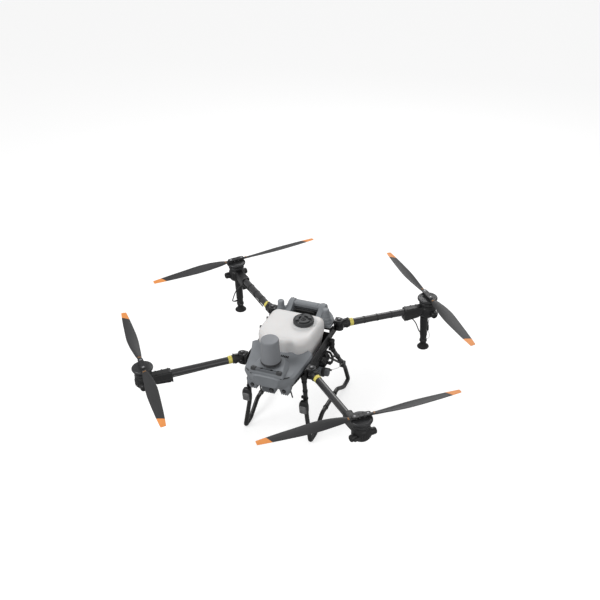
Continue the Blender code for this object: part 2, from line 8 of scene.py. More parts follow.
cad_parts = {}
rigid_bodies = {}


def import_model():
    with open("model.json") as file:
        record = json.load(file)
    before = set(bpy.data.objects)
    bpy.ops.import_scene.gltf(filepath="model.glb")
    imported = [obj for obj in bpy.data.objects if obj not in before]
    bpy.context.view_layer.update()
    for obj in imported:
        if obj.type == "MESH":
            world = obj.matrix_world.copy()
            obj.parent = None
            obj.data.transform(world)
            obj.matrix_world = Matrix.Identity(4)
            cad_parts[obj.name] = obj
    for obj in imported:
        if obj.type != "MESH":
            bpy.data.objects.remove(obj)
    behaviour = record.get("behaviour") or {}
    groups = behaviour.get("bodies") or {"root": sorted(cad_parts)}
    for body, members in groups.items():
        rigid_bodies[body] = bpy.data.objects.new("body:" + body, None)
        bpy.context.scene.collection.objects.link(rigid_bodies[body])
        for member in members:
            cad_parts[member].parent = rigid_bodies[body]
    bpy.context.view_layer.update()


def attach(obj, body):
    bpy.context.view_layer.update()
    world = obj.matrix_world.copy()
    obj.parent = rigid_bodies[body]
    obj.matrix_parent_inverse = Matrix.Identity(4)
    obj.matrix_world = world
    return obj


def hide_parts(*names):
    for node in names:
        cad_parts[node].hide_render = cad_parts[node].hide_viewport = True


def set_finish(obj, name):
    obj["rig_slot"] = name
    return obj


for o in list(bpy.data.objects):
    bpy.data.objects.remove(o, do_unlink=True)
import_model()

G = 0.462                                   # belly face above the ground; heights below are above the ground
MOTOR_X, MOTOR_Y = 0.7025, 0.6575
HINGE_X, HINGE_Y = 0.235, 0.240
ARM_LEN = hypot(MOTOR_X - HINGE_X, MOTOR_Y - HINGE_Y)
TUBE_Z = {"front": (0.528, 0.533), "rear": (0.575, 0.545)}
TUBE_R = 0.0225
PROP_R, PIVOT_R, BLADE_Z = 0.6125, 0.040, 0.6425
NOZZLE_IN = 0.020
RAD_Y = -0.3165
CAP_X, CAP_Y = 0.074, 0.035
ARMS = {"front_left": (1, -1, 41.0, "front"), "front_right": (-1, -1, 132.0, "front"),
        "rear_left": (1, 1, 133.5, "rear"), "rear_right": (-1, 1, 48.0, "rear")}
DOWN = Matrix.Translation((0, 0, -G))


# ------------------------------------------------------------------ materials
def new_mat(name):
    m = bpy.data.materials.new(name)
    m.use_nodes = True
    nt = m.node_tree
    return m, nt, nt.nodes["Principled BSDF"]


def add(nt, kind, **values):
    n = nt.nodes.new(kind)
    for k, v in values.items():
        if k in n.inputs:
            n.inputs[k].default_value = v
        else:
            setattr(n, k, v)
    return n


def moulded(name, rgb, rough=0.5, spread=0.10, grain=1400.0, bump=0.10, metal=0.0, wear=0.0, wear_rgb=(0.3, 0.3, 0.3), coat=0.0, mottle=14.0):
    """Plastic or metal with a fine surface grain, slow colour drift, roughness smudges and rubbed edges."""
    m, nt, b = new_mat(name)
    L = nt.links
    tc = add(nt, "ShaderNodeTexCoord")
    slow = add(nt, "ShaderNodeTexNoise", Scale=mottle, Detail=4.0, Roughness=0.55)
    L.new(tc.outputs["Object"], slow.inputs["Vector"])
    ramp = add(nt, "ShaderNodeValToRGB")
    ramp.color_ramp.elements[0].position = 0.30
    ramp.color_ramp.elements[1].position = 0.72
    ramp.color_ramp.elements[0].color = (*[max(c * (1 - spread), 0) for c in rgb], 1)
    ramp.color_ramp.elements[1].color = (*[min(c * (1 + spread), 1) for c in rgb], 1)
    L.new(slow.outputs["Fac"], ramp.inputs["Fac"])
    colour = ramp.outputs["Color"]
    if wear > 0:
        geo = add(nt, "ShaderNodeNewGeometry")
        pr = add(nt, "ShaderNodeValToRGB")
        pr.color_ramp.elements[0].position = 0.52
        pr.color_ramp.elements[1].position = 0.60
        L.new(geo.outputs["Pointiness"], pr.inputs["Fac"])
        chip = add(nt, "ShaderNodeTexNoise", Scale=90.0, Detail=5.0, Roughness=0.7)
        L.new(tc.outputs["Object"], chip.inputs["Vector"])
        mul = add(nt, "ShaderNodeMath", operation="MULTIPLY")
        L.new(pr.outputs["Color"], mul.inputs[0])
        L.new(chip.outputs["Fac"], mul.inputs[1])
        mul2 = add(nt, "ShaderNodeMath", operation="MULTIPLY")
        mul2.inputs[1].default_value = wear
        L.new(mul.outputs[0], mul2.inputs[0])
        mix = add(nt, "ShaderNodeMixRGB")
        mix.inputs["Color2"].default_value = (*wear_rgb, 1)
        L.new(mul2.outputs[0], mix.inputs["Fac"])
        L.new(colour, mix.inputs["Color1"])
        colour = mix.outputs["Color"]
    L.new(colour, b.inputs["Base Color"])
    smudge = add(nt, "ShaderNodeTexNoise", Scale=mottle * 2.7, Detail=3.0)
    L.new(tc.outputs["Object"], smudge.inputs["Vector"])
    mr = add(nt, "ShaderNodeMapRange")
    mr.inputs["To Min"].default_value = max(rough - 0.09, 0.05)
    mr.inputs["To Max"].default_value = min(rough + 0.09, 1.0)
    L.new(smudge.outputs["Fac"], mr.inputs["Value"])
    L.new(mr.outputs["Result"], b.inputs["Roughness"])
    fine = add(nt, "ShaderNodeTexNoise", Scale=grain, Detail=2.0)
    L.new(tc.outputs["Object"], fine.inputs["Vector"])
    bp = add(nt, "ShaderNodeBump", Strength=bump, Distance=0.0004)
    L.new(fine.outputs["Fac"], bp.inputs["Height"])
    L.new(bp.outputs["Normal"], b.inputs["Normal"])
    b.inputs["Metallic"].default_value = metal
    b.inputs["Coat Weight"].default_value = coat
    return m


def carbon_mat(name, rgb_a, rgb_b, size=0.0022, rough=0.30, coat=0.5):
    """Twill-woven fibre under clear resin; the weave is laid out in the piece's UVs, in metres."""
    m, nt, b = new_mat(name)
    L = nt.links
    uv = add(nt, "ShaderNodeUVMap")
    rot = add(nt, "ShaderNodeMapping")
    rot.inputs["Rotation"].default_value = (0, 0, radians(45))
    rot.inputs["Scale"].default_value = (1 / size, 1 / size, 1)
    L.new(uv.outputs["UV"], rot.inputs["Vector"])
    ch = add(nt, "ShaderNodeTexChecker", Scale=1.0)
    ch.inputs["Color1"].default_value = (*rgb_a, 1)
    ch.inputs["Color2"].default_value = (*rgb_b, 1)
    L.new(rot.outputs["Vector"], ch.inputs["Vector"])
    streak = add(nt, "ShaderNodeTexNoise", Scale=9.0, Detail=3.0)
    tc = add(nt, "ShaderNodeTexCoord")
    L.new(tc.outputs["Object"], streak.inputs["Vector"])
    mul = add(nt, "ShaderNodeMixRGB", blend_type="MULTIPLY")
    mul.inputs["Fac"].default_value = 0.35
    L.new(ch.outputs["Color"], mul.inputs["Color1"])
    L.new(streak.outputs["Color"], mul.inputs["Color2"])
    L.new(mul.outputs["Color"], b.inputs["Base Color"])
    bp = add(nt, "ShaderNodeBump", Strength=0.15, Distance=0.0002)
    L.new(ch.outputs["Fac"], bp.inputs["Height"])
    L.new(bp.outputs["Normal"], b.inputs["Normal"])
    b.inputs["Roughness"].default_value = rough
    b.inputs["Coat Weight"].default_value = coat
    b.inputs["Coat Roughness"].default_value = 0.18
    return m


def blade_mat(name):
    """Dark composite with lengthwise streaks; the painted tip starts on a slant. UV x runs along the blade in metres."""
    m, nt, b = new_mat(name)
    L = nt.links
    uv = add(nt, "ShaderNodeUVMap")
    sep = add(nt, "ShaderNodeSeparateXYZ")
    L.new(uv.outputs["UV"], sep.inputs["Vector"])
    mp = add(nt, "ShaderNodeMapping")
    mp.inputs["Scale"].default_value = (14, 420, 1)
    L.new(uv.outputs["UV"], mp.inputs["Vector"])
    st = add(nt, "ShaderNodeTexNoise", Scale=1.0, Detail=6.0, Roughness=0.65)
    L.new(mp.outputs["Vector"], st.inputs["Vector"])
    ramp = add(nt, "ShaderNodeValToRGB")
    ramp.color_ramp.elements[0].position = 0.30
    ramp.color_ramp.elements[1].position = 0.75
    ramp.color_ramp.elements[0].color = (0.014, 0.014, 0.015, 1)
    ramp.color_ramp.elements[1].color = (0.034, 0.034, 0.036, 1)
    L.new(st.outputs["Fac"], ramp.inputs["Fac"])
    slant = add(nt, "ShaderNodeMath", operation="MULTIPLY_ADD")
    slant.inputs[1].default_value = -0.60
    L.new(sep.outputs["Y"], slant.inputs[0])
    L.new(sep.outputs["X"], slant.inputs[2])
    edge = add(nt, "ShaderNodeMapRange")
    edge.inputs["From Min"].default_value = PROP_R - PIVOT_R - 0.0705
    edge.inputs["From Max"].default_value = PROP_R - PIVOT_R - 0.0695
    L.new(slant.outputs[0], edge.inputs["Value"])
    tip = add(nt, "ShaderNodeTexNoise", Scale=30.0, Detail=4.0)
    L.new(uv.outputs["UV"], tip.inputs["Vector"])
    tr = add(nt, "ShaderNodeValToRGB")
    tr.color_ramp.elements[0].color = (0.76, 0.26, 0.055, 1)
    tr.color_ramp.elements[1].color = (0.86, 0.33, 0.085, 1)
    L.new(tip.outputs["Fac"], tr.inputs["Fac"])
    mix = add(nt, "ShaderNodeMixRGB")
    L.new(edge.outputs["Result"], mix.inputs["Fac"])
    L.new(ramp.outputs["Color"], mix.inputs["Color1"])
    L.new(tr.outputs["Color"], mix.inputs["Color2"])
    L.new(mix.outputs["Color"], b.inputs["Base Color"])
    bp = add(nt, "ShaderNodeBump", Strength=0.25, Distance=0.0004)
    L.new(st.outputs["Fac"], bp.inputs["Height"])
    L.new(bp.outputs["Normal"], b.inputs["Normal"])
    b.inputs["Roughness"].default_value = 0.46
    return m


def tank_mat(name):
    """Translucent blow-moulded polyethylene: scattering, a faint orange-peel skin and slightly warmer thick areas."""
    m, nt, b = new_mat(name)
    L = nt.links
    tc = add(nt, "ShaderNodeTexCoord")
    slow = add(nt, "ShaderNodeTexNoise", Scale=7.0, Detail=4.0)
    L.new(tc.outputs["Object"], slow.inputs["Vector"])
    ramp = add(nt, "ShaderNodeValToRGB")
    ramp.color_ramp.elements[0].color = (0.70, 0.685, 0.678, 1)
    ramp.color_ramp.elements[1].color = (0.79, 0.782, 0.775, 1)
    L.new(slow.outputs["Fac"], ramp.inputs["Fac"])
    L.new(ramp.outputs["Color"], b.inputs["Base Color"])
    b.inputs["Subsurface Weight"].default_value = 0.25
    b.inputs["Subsurface Radius"].default_value = (0.012, 0.010, 0.009)
    b.inputs["Subsurface Scale"].default_value = 1.0
    b.inputs["Roughness"].default_value = 0.42
    peel = add(nt, "ShaderNodeTexNoise", Scale=160.0, Detail=2.0)
    L.new(tc.outputs["Object"], peel.inputs["Vector"])
    fine = add(nt, "ShaderNodeTexNoise", Scale=1200.0, Detail=2.0)
    L.new(tc.outputs["Object"], fine.inputs["Vector"])
    ad = add(nt, "ShaderNodeMath", operation="ADD")
    L.new(peel.outputs["Fac"], ad.inputs[0])
    L.new(fine.outputs["Fac"], ad.inputs[1])
    bp = add(nt, "ShaderNodeBump", Strength=0.08, Distance=0.0006)
    L.new(ad.outputs[0], bp.inputs["Height"])
    L.new(bp.outputs["Normal"], b.inputs["Normal"])
    return m


HUB = moulded("hub_satin", (0.020, 0.0205, 0.022), 0.36, 0.15, 1500, 0.10, wear=0.4, wear_rgb=(0.12, 0.12, 0.125))
GREY = moulded("shell_grey", (0.212, 0.225, 0.241), 0.52, 0.06, 1500, 0.14, wear=0.35, wear_rgb=(0.33, 0.35, 0.37))
# painted shade: shell grey darkened to the tone its shaded recesses show, used for the lobe ridges, the pod face and
# ridges, the nose sensor bar and the pump motor's end bell
GREY_PAINTED_SHADE = moulded("shell_grey_painted_shade", (0.100, 0.107, 0.118), 0.55, 0.08, 1500, 0.14, wear=0.25, wear_rgb=(0.2, 0.21, 0.22))
RADOME = moulded("radome_grey", (0.235, 0.245, 0.262), 0.50, 0.03, 1700, 0.10, wear=0.2, wear_rgb=(0.36, 0.37, 0.38))
DARK = moulded("dark_grey", (0.028, 0.029, 0.031), 0.50, 0.12, 1300, 0.15, wear=0.4, wear_rgb=(0.12, 0.12, 0.125))
BLACK = moulded("frame_black", (0.0085, 0.0085, 0.0092), 0.42, 0.20, 1200, 0.12, wear=0.45, wear_rgb=(0.07, 0.07, 0.072))
ALLOY_B = moulded("black_alloy", (0.0085, 0.0085, 0.0092), 0.44, 0.15, 1900, 0.08, metal=0.15, wear=0.6, wear_rgb=(0.12, 0.12, 0.125))
GEAR = moulded("gear_tube_black", (0.0095, 0.0095, 0.0100), 0.33, 0.15, 900, 0.05, coat=0.25, wear=0.3, wear_rgb=(0.06, 0.06, 0.06))
RUBBER = moulded("rubber", (0.0075, 0.0075, 0.0080), 0.68, 0.15, 900, 0.25)
STEEL = moulded("bolt_steel", (0.34, 0.34, 0.35), 0.36, 0.06, 2000, 0.05, metal=1.0)
SILVER = moulded("radar_panel", (0.45, 0.45, 0.46), 0.35, 0.05, 1600, 0.05, metal=0.9)
YELLOW = moulded("band_yellow", (0.80, 0.70, 0.16), 0.50, 0.08, 900, 0.10, mottle=60)
MARK = moulded("root_mark", (0.42, 0.20, 0.06), 0.55, 0.2, 900, 0.10, mottle=200)
HOSE = moulded("hose_black", (0.014, 0.014, 0.014), 0.50, 0.15, 700, 0.2)
HOSE_C = moulded("hose_clear", (0.55, 0.54, 0.52), 0.30, 0.08, 500, 0.05)
LENS = moulded("lens_glass", (0.004, 0.004, 0.006), 0.06, 0.1, 400, 0.0, coat=1.0)
LAMP = moulded("lamp_cover", (0.36, 0.36, 0.365), 0.22, 0.18, 260, 0.10, coat=0.6)
CARBON = carbon_mat("carbon_tube", (0.011, 0.011, 0.012), (0.026, 0.026, 0.028), rough=0.36, coat=0.6)
BLADEM = blade_mat("blade_composite")
TANKM = tank_mat("tank_polyethylene")
SLOT = {HUB: "dark_grey", GREY: "shell_grey", GREY_PAINTED_SHADE: "shell_grey", RADOME: "shell_grey", DARK: "dark_grey", BLACK: "frame_black", ALLOY_B: "frame_black", GEAR: "frame_black",
        RUBBER: "rubber", SILVER: "antenna_metal", STEEL: "antenna_metal", HOSE: "rubber", LAMP: "lamp_glass", LENS: "lamp_glass", CARBON: "carbon", BLADEM: "blade", TANKM: "tank_white"}


# ------------------------------------------------------------------ modelling helpers
def obj(name, verts, faces, mat, M=None, uvs=None, angle=35):
    me = bpy.data.meshes.new(name)
    me.from_pydata([tuple(v) for v in verts], [], faces)
    if uvs is not None:
        lay = me.uv_layers.new(name="UVMap")
        for poly in me.polygons:
            ids = list(poly.vertices)
            uu = [uvs[i] for i in ids]
            top = max(u[0] for u in uu)
            for li, (i, u) in zip(poly.loop_indices, zip(ids, uu)):
                x = u[0]
                if len(u) > 2 and top - x > u[2] * 0.5:
                    x += u[2]
                lay.data[li].uv = (x, u[1])
    bm = bmesh.new()
    bm.from_mesh(me)
    bmesh.ops.recalc_face_normals(bm, faces=bm.faces)
    bm.to_mesh(me)
    bm.free()
    me.materials.append(mat)
    me.shade_smooth()
    me.set_sharp_from_angle(angle=radians(angle))
    me.transform(DOWN @ M if M is not None else DOWN)
    o = bpy.data.objects.new(name, me)
    bpy.context.scene.collection.objects.link(o)
    if mat in SLOT:
        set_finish(o, SLOT[mat])
    return o


def bevel(o, width=0.0012, seg=3, angle=30):
    b = o.modifiers.new("bevel", "BEVEL")
    b.width = width
    b.segments = seg
    b.limit_method = "ANGLE"
    b.angle_limit = radians(angle)
    b.harden_normals = True
    return o


def subsurf(o, n=2):
    s = o.modifiers.new("subd", "SUBSURF")
    s.levels = n
    s.render_levels = n
    return o


def loft(name, rings, mat, M=None, caps=True, angle=35):
    n = len(rings[0])
    v, f = [], []
    for r in rings:
        v += list(r)
    for i in range(len(rings) - 1):
        for j in range(n):
            a, b = i * n + j, i * n + (j + 1) % n
            f.append((a, b, b + n, a + n))
    if caps:
        f.append(tuple(reversed(range(n))))
        f.append(tuple((len(rings) - 1) * n + j for j in range(n)))
    return obj(name, v, f, mat, M, angle=angle)


def box(name, x0, x1, y0, y1, z0, z1, mat, M=None, bev=0.0012, seg=2, taper=1.0):
    x0, x1 = sorted((x0, x1))
    y0, y1 = sorted((y0, y1))
    cx, cy = (x0 + x1) / 2, (y0 + y1) / 2
    v = [(x, y, z0) for x, y in ((x0, y0), (x1, y0), (x1, y1), (x0, y1))] + [(cx + (x - cx) * taper, cy + (y - cy) * taper, z1) for x, y in ((x0, y0), (x1, y0), (x1, y1), (x0, y1))]
    f = [(3, 2, 1, 0), (4, 5, 6, 7), (0, 1, 5, 4), (1, 2, 6, 5), (2, 3, 7, 6), (3, 0, 4, 7)]
    o = obj(name, v, f, mat, M)
    if bev:
        bevel(o, bev, seg)
    return o


def slab(name, outline, z0, z1, mat, M=None, bev=0.001, seg=2, plane="xy"):
    """A flat outline given thickness. plane 'xz' reads the outline as (x, z) with thickness along y."""
    if plane == "xy":
        rings = [[(x, y, z) for x, y in outline] for z in (z0, z1)]
    elif plane == "xz":
        rings = [[(x, y, z) for x, z in outline] for y in (z0, z1)]
    else:
        rings = [[(x, y, z) for y, z in outline] for x in (z0, z1)]
    o = loft(name, rings, mat, M)
    if bev:
        bevel(o, bev, seg)
    return o


def revolve(name, prof, mat, M=None, n=48, axis="Z", closed=True, angle=35, ribs=None):
    """A (r, z) profile turned about an axis. ribs = (count, depth, z0, z1) pushes alternate flats outwards."""
    v, f, idx, uv = [], [], [], []
    length = 0.0
    prev = None
    for r, z in prof:
        if prev is not None:
            length += hypot(r - prev[0], z - prev[1])
        prev = (r, z)
        if r < 1e-9:
            idx.append([len(v)] * n)
            v.append((0, 0, z))
            uv.append((0, length))
        else:
            idx.append(list(range(len(v), len(v) + n)))
            for k in range(n):
                rr = r
                if ribs and ribs[2] <= z <= ribs[3]:
                    rr = r + ribs[1] * (1 if (k * ribs[0] // n * 2 + (1 if (k * ribs[0]) % n >= n / 2 else 0)) % 2 else 0)
                v.append((rr * cos(2 * pi * k / n), rr * sin(2 * pi * k / n), z))
                uv.append((2 * pi * r * k / n, length, 2 * pi * r))
    m = len(prof)
    for i in range(m if closed else m - 1):
        a, b = idx[i], idx[(i + 1) % m]
        if a[0] == a[-1] and b[0] == b[-1]:
            continue
        for k in range(n):
            q = [a[k], a[(k + 1) % n], b[(k + 1) % n], b[k]]
            q = [x for s, x in enumerate(q) if x not in q[:s]]
            if len(q) > 2:
                f.append(tuple(q))
    if axis == "X":
        v = [(z, y, -x) for x, y, z in v]
    if axis == "Y":
        v = [(x, z, -y) for x, y, z in v]
    return obj(name, v, f, mat, M, uv, angle)


def rounded(x0, x1, y0, y1, rf, rr, z, k=8):
    pts = []
    for cx, cy, r, a0 in ((x1 - rr, y1 - rr, rr, 0), (x0 + rr, y1 - rr, rr, 90), (x0 + rf, y0 + rf, rf, 180), (x1 - rf, y0 + rf, rf, 270)):
        for i in range(k + 1):
            a = radians(a0 + 90 * i / k)
            pts.append((cx + r * cos(a), cy + r * sin(a), z))
    return pts


def fillet_path(points, r, k=8):
    pts = [Vector(p) for p in points]
    out = [pts[0]]
    for p0, p1, p2 in zip(pts, pts[1:], pts[2:]):
        a, b = (p0 - p1), (p2 - p1)
        d = min(r, a.length * 0.45, b.length * 0.45)
        s, e = p1 + a.normalized() * d, p1 + b.normalized() * d
        for t in range(k + 1):
            u = t / k
            out.append(s * (1 - u) ** 2 + p1 * 2 * u * (1 - u) + e * u ** 2)
    out.append(pts[-1])
    return out


def sweep(name, path, r, mat, M=None, n=20, radii=None):
    rings, uv, run = [], [], 0.0
    t = (path[1] - path[0]).normalized()
    up = Vector((0, 0, 1)) if abs(t.z) < 0.9 else Vector((1, 0, 0))
    u = t.cross(up).normalized()
    for i, p in enumerate(path):
        if i == 0:
            d = path[1] - path[0]
        elif i == len(path) - 1:
            d = path[-1] - path[-2]
        else:
            d = (path[i] - path[i - 1]).normalized() + (path[i + 1] - path[i]).normalized()
        d = d.normalized()
        u = (u - d * u.dot(d)).normalized()
        w = d.cross(u)
        if i:
            run += (p - path[i - 1]).length
        rr = radii[i] if radii else r
        rings.append([tuple(p + u * (rr * cos(2 * pi * j / n)) + w * (rr * sin(2 * pi * j / n))) for j in range(n)])
        uv += [(2 * pi * r * j / n, run, 2 * pi * r) for j in range(n)]
    v, f = [], []
    for q in rings:
        v += q
    for i in range(len(rings) - 1):
        for j in range(n):
            a, b = i * n + j, i * n + (j + 1) % n
            f.append((a, b, b + n, a + n))
    f.append(tuple(reversed(range(n))))
    f.append(tuple((len(rings) - 1) * n + j for j in range(n)))
    return obj(name, v, f, mat, M, uv, 60)


def merge(name, parts):
    """Pieces that are one moulding or one set of fasteners become one object, each keeping its own material."""
    dg = bpy.context.evaluated_depsgraph_get()
    out = bmesh.new()
    mats = []
    uvl = None
    me = bpy.data.meshes.new(name)
    for p in parts:
        e = p.evaluated_get(dg)
        src = bpy.data.meshes.new_from_object(e, depsgraph=dg)
        src.transform(p.matrix_world)
        base = []
        for mt in src.materials:
            if mt not in mats:
                mats.append(mt)
            base.append(mats.index(mt))
        for poly in src.polygons:
            poly.material_index = base[min(poly.material_index, len(base) - 1)] if base else 0
        if not src.uv_layers:
            src.uv_layers.new(name="UVMap")
        out.from_mesh(src)
        bpy.data.meshes.remove(src)
    out.to_mesh(me)
    out.free()
    for mt in mats:
        me.materials.append(mt)
    o = bpy.data.objects.new(name, me)
    bpy.context.scene.collection.objects.link(o)
    s = parts[0].get("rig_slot")
    for p in parts:
        bpy.data.objects.remove(p, do_unlink=True)
    if s:
        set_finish(o, s)
    return o


def bolt(name, x, y, z, M=None, r=0.004, h=0.003, axis="Z", mat=None, flip=False):
    """A cap screw head with a hex socket."""
    s = -1 if flip else 1
    prof = [(0.0, s * h * 0.45), (r * 0.45, s * h * 0.45), (r * 0.5, s * h), (r * 0.86, s * h), (r, s * h * 0.8), (r, 0.0), (0.0, 0.0)]
    T = Matrix.Translation((x, y, z))
    return revolve(name, prof, mat or STEEL, (M @ T) if M is not None else T, 14, axis)


def done(o, body, *nodes):
    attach(o, body)
    if nodes:
        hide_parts(*nodes)
    return o


# ------------------------------------------------------------------ propeller blades
def blade(name, hand, M):
    Lb = PROP_R - PIVOT_R
    st = [(-0.0115, 0.019, 0, 0, 0.0132), (-0.006, 0.0225, 0, 0, 0.0136), (0.012, 0.024, 0, 0, 0.0138), (0.022, 0.0250, 0, 2, 0.013), (0.032, 0.0280, 0.0, 5, 0.0118), (0.044, 0.0345, 0.001, 10, 0.0106),
          (0.058, 0.041, 0.002, 14, 0.0099), (0.075, 0.047, 0.0025, 15.8, 0.0096), (0.100, 0.054, 0.003, 16.5, 0.0093), (0.130, 0.061, 0.004, 16, 0.009), (0.160, 0.067, 0.004, 15.5, 0.0085), (0.195, 0.072, 0.0035, 14.5, 0.008),
          (0.225, 0.075, 0.003, 13.5, 0.0075), (0.265, 0.0745, 0.0015, 12, 0.0067), (0.310, 0.071, 0.0, 10.5, 0.006), (0.375, 0.0635, -0.0015, 9.2, 0.0052), (0.440, 0.056, -0.003, 8, 0.0045), (0.500, 0.0465, -0.0045, 7, 0.0038),
          (0.545, 0.0385, -0.0055, 6.3, 0.0034), (Lb - 0.008, 0.0345, -0.006, 6, 0.0031), (Lb - 0.002, 0.0325, -0.006, 6, 0.0028), (Lb, 0.0290, -0.006, 6, 0.0020)]
    up = [(0.5, 0.0), (0.485, 0.16), (0.44, 0.30), (0.35, 0.43), (0.22, 0.52), (0.08, 0.56), (-0.08, 0.52), (-0.22, 0.41), (-0.36, 0.26), (-0.45, 0.14), (-0.5, 0.05)]
    lo = [(-0.5, -0.05), (-0.42, -0.10), (-0.25, -0.21), (-0.05, -0.32), (0.15, -0.38), (0.32, -0.36), (0.44, -0.24), (0.485, -0.12)]
    v, uv, f = [], [], []
    n = len(up) + len(lo)
    for r, c, off, pitch, th in st:
        p = radians(pitch) * hand
        for q, h in up + lo:
            q, h = (q * c + off) * hand, h * th
            v.append((r, q * cos(p) - h * sin(p), q * sin(p) + h * cos(p)))
            uv.append((r, q * hand))
    for i in range(len(st) - 1):
        for j in range(n):
            a, b = i * n + j, i * n + (j + 1) % n
            f.append((a, b, b + n, a + n))
    f.append(tuple(range(n)))
    f.append(tuple((len(st) - 1) * n + j for j in range(n)))
    return obj(name, v, f, BLADEM, M, uv, 50)


for k, (sx, sy, prop_deg, row) in ARMS.items():
    z0, z1 = TUBE_Z[row]
    wa = atan2(sy * (MOTOR_Y - HINGE_Y), sx * (MOTOR_X - HINGE_X))
    pitch = atan2(z0 - z1, ARM_LEN)
    A = Matrix.Translation((sx * HINGE_X, sy * HINGE_Y, 0)) @ Matrix.Rotation(wa, 4, "Z")        # arm frame
    P = A @ Matrix.Translation((0, 0, z0)) @ Matrix.Rotation(pitch, 4, "Y")                       # along the tube
    Mo = A @ Matrix.Translation((ARM_LEN, 0, 0))                                                 # motor axis
    R = Mo @ Matrix.Rotation(radians(prop_deg) - wa, 4, "Z")                                     # rotor frame
    body, rbody = "arm_" + k, "rotor_" + k
    # --- tube and yellow band
    t = revolve("tube", [(0.0200, 0.047), (TUBE_R, 0.047), (TUBE_R, ARM_LEN - 0.036), (0.0200, ARM_LEN - 0.036)], CARBON, P, 64, "X")
    t.name = "carbon_arm_tube_" + k
    done(t, body, "arm_tube_" + k)
    b = revolve("band", [(TUBE_R + 0.0002, 0.0690), (TUBE_R + 0.0012, 0.0694), (TUBE_R + 0.0012, 0.0936), (TUBE_R + 0.0002, 0.0940)], YELLOW, P, 48, "X")
    b2 = slab("tab", [(0.0700, -0.0110), (0.0930, -0.0110), (0.0930, 0.0110), (0.0700, 0.0110)], TUBE_R - 0.004, TUBE_R + 0.0042, YELLOW, P, 0.0014, 2)
    b3 = revolve("dot", [(0.0, 0.0), (0.0030, 0.0), (0.0030, 0.0006), (0.0, 0.0006)], MARK, P @ Matrix.Translation((0.0815, 0.0, TUBE_R + 0.0041)), 20, "Z")
    done(merge("yellow_band_" + k, [b, b2, b3]), body)
    # --- knuckle: barrel, ribbed socket, locking collar and over-centre lever
    parts = [revolve("barrel", [(0.0, -0.0408), (0.0074, -0.0408), (0.0074, -0.0295), (0.0228, -0.0295), (0.0245, -0.0280), (0.0245, -0.0150), (0.0228, -0.0140), (0.0228, 0.0140), (0.0245, 0.0150), (0.0245, 0.0280), (0.0228, 0.0295), (0.0074, 0.0295), (0.0074, 0.0408), (0.0, 0.0408)], ALLOY_B, A @ Matrix.Translation((0, 0, z0)), 40)]
    parts.append(revolve("socket", [(0.0, 0.008), (0.0262, 0.008), (0.0268, 0.030), (0.0280, 0.034), (0.0280, 0.0400), (0.0268, 0.0410), (0.0268, 0.0560), (0.0278, 0.0570), (0.0278, 0.0640), (0.0262, 0.0670), (0.0229, 0.0675), (0.0229, 0.046), (0.0, 0.046)], BLACK, P, 48, "X"))
    for s in (1, -1):
        parts.append(box("cheek", 0.004, 0.060, s * 0.0180, s * 0.0278, -0.0150, 0.0150, ALLOY_B, P, 0.002, 3))
        for q in (0.018, 0.046):
            parts.append(bolt("b", q, s * 0.0278, 0.0, P, 0.0036, 0.0022, "Y", flip=(s < 0)))
    parts.append(revolve("collar", [(0.0268, 0.0425), (0.0300, 0.0425), (0.0310, 0.0440), (0.0310, 0.0540), (0.0300, 0.0555), (0.0268, 0.0555)], BLACK, P, 72, "X", ribs=(24, -0.0010, 0.043, 0.055)))
    parts.append(slab("lever", [(0.008, 0.0275), (0.022, 0.0305), (0.050, 0.0345), (0.062, 0.0385), (0.064, 0.0360), (0.052, 0.0312), (0.024, 0.0262), (0.008, 0.0250)], -0.0090, 0.0090, BLACK, P, 0.0012, 2, "xz"))
    done(merge("fold_knuckle_" + k, parts), body, "arm_knuckle_" + k)
    # --- clevis bracket on the airframe, with its pin caps and bolts
    B = Matrix.Translation((sx * HINGE_X, sy * HINGE_Y, z0)) @ Matrix.Rotation(0 if sx > 0 else pi, 4, "Z")
    out = [(-0.0295, -0.026), (-0.010, -0.0270)] + [(0.0268 * cos(radians(a)), 0.0268 * sin(radians(a))) for a in range(-80, 81, 10)] + [(-0.010, 0.0270), (-0.0295, 0.026)]
    parts = [slab("up", out, 0.0300, 0.0362, ALLOY_B, B, 0.0012, 3), slab("lo", out, -0.0362, -0.0300, ALLOY_B, B, 0.0012, 3), box("web", -0.0294, -0.0262, -0.0258, 0.0258, -0.0356, 0.0356, ALLOY_B, B, 0.0008)]
    for s in (1, -1):
        parts.append(revolve("boss", [(0.0078, s * 0.0360), (0.0145, s * 0.0360), (0.0140, s * 0.0405), (0.0125, s * 0.0425), (0.0, s * 0.0428), (0.0, s * 0.0412), (0.0078, s * 0.0412)], BLACK, B, 28))
        for q in (-1, 1):
            parts.append(bolt("b", -0.020, q * 0.0185, s * 0.0362, B, 0.0036, 0.0028, "Z", flip=(s < 0)))
        parts.append(slab("gusset", [(-0.0290, s * 0.0300), (-0.0290, s * 0.0040), (-0.0262, s * 0.0040), (-0.0245, s * 0.0220), (-0.0200, s * 0.0300)], -0.0020, 0.0020, BLACK, B, 0.0004, 1, "xz"))
    parts.append(bolt("cap", 0, 0, 0.0425, B, 0.0058, 0.0030))
    done(merge("clevis_bracket_" + k, parts), "airframe", "arm_bracket_" + k)
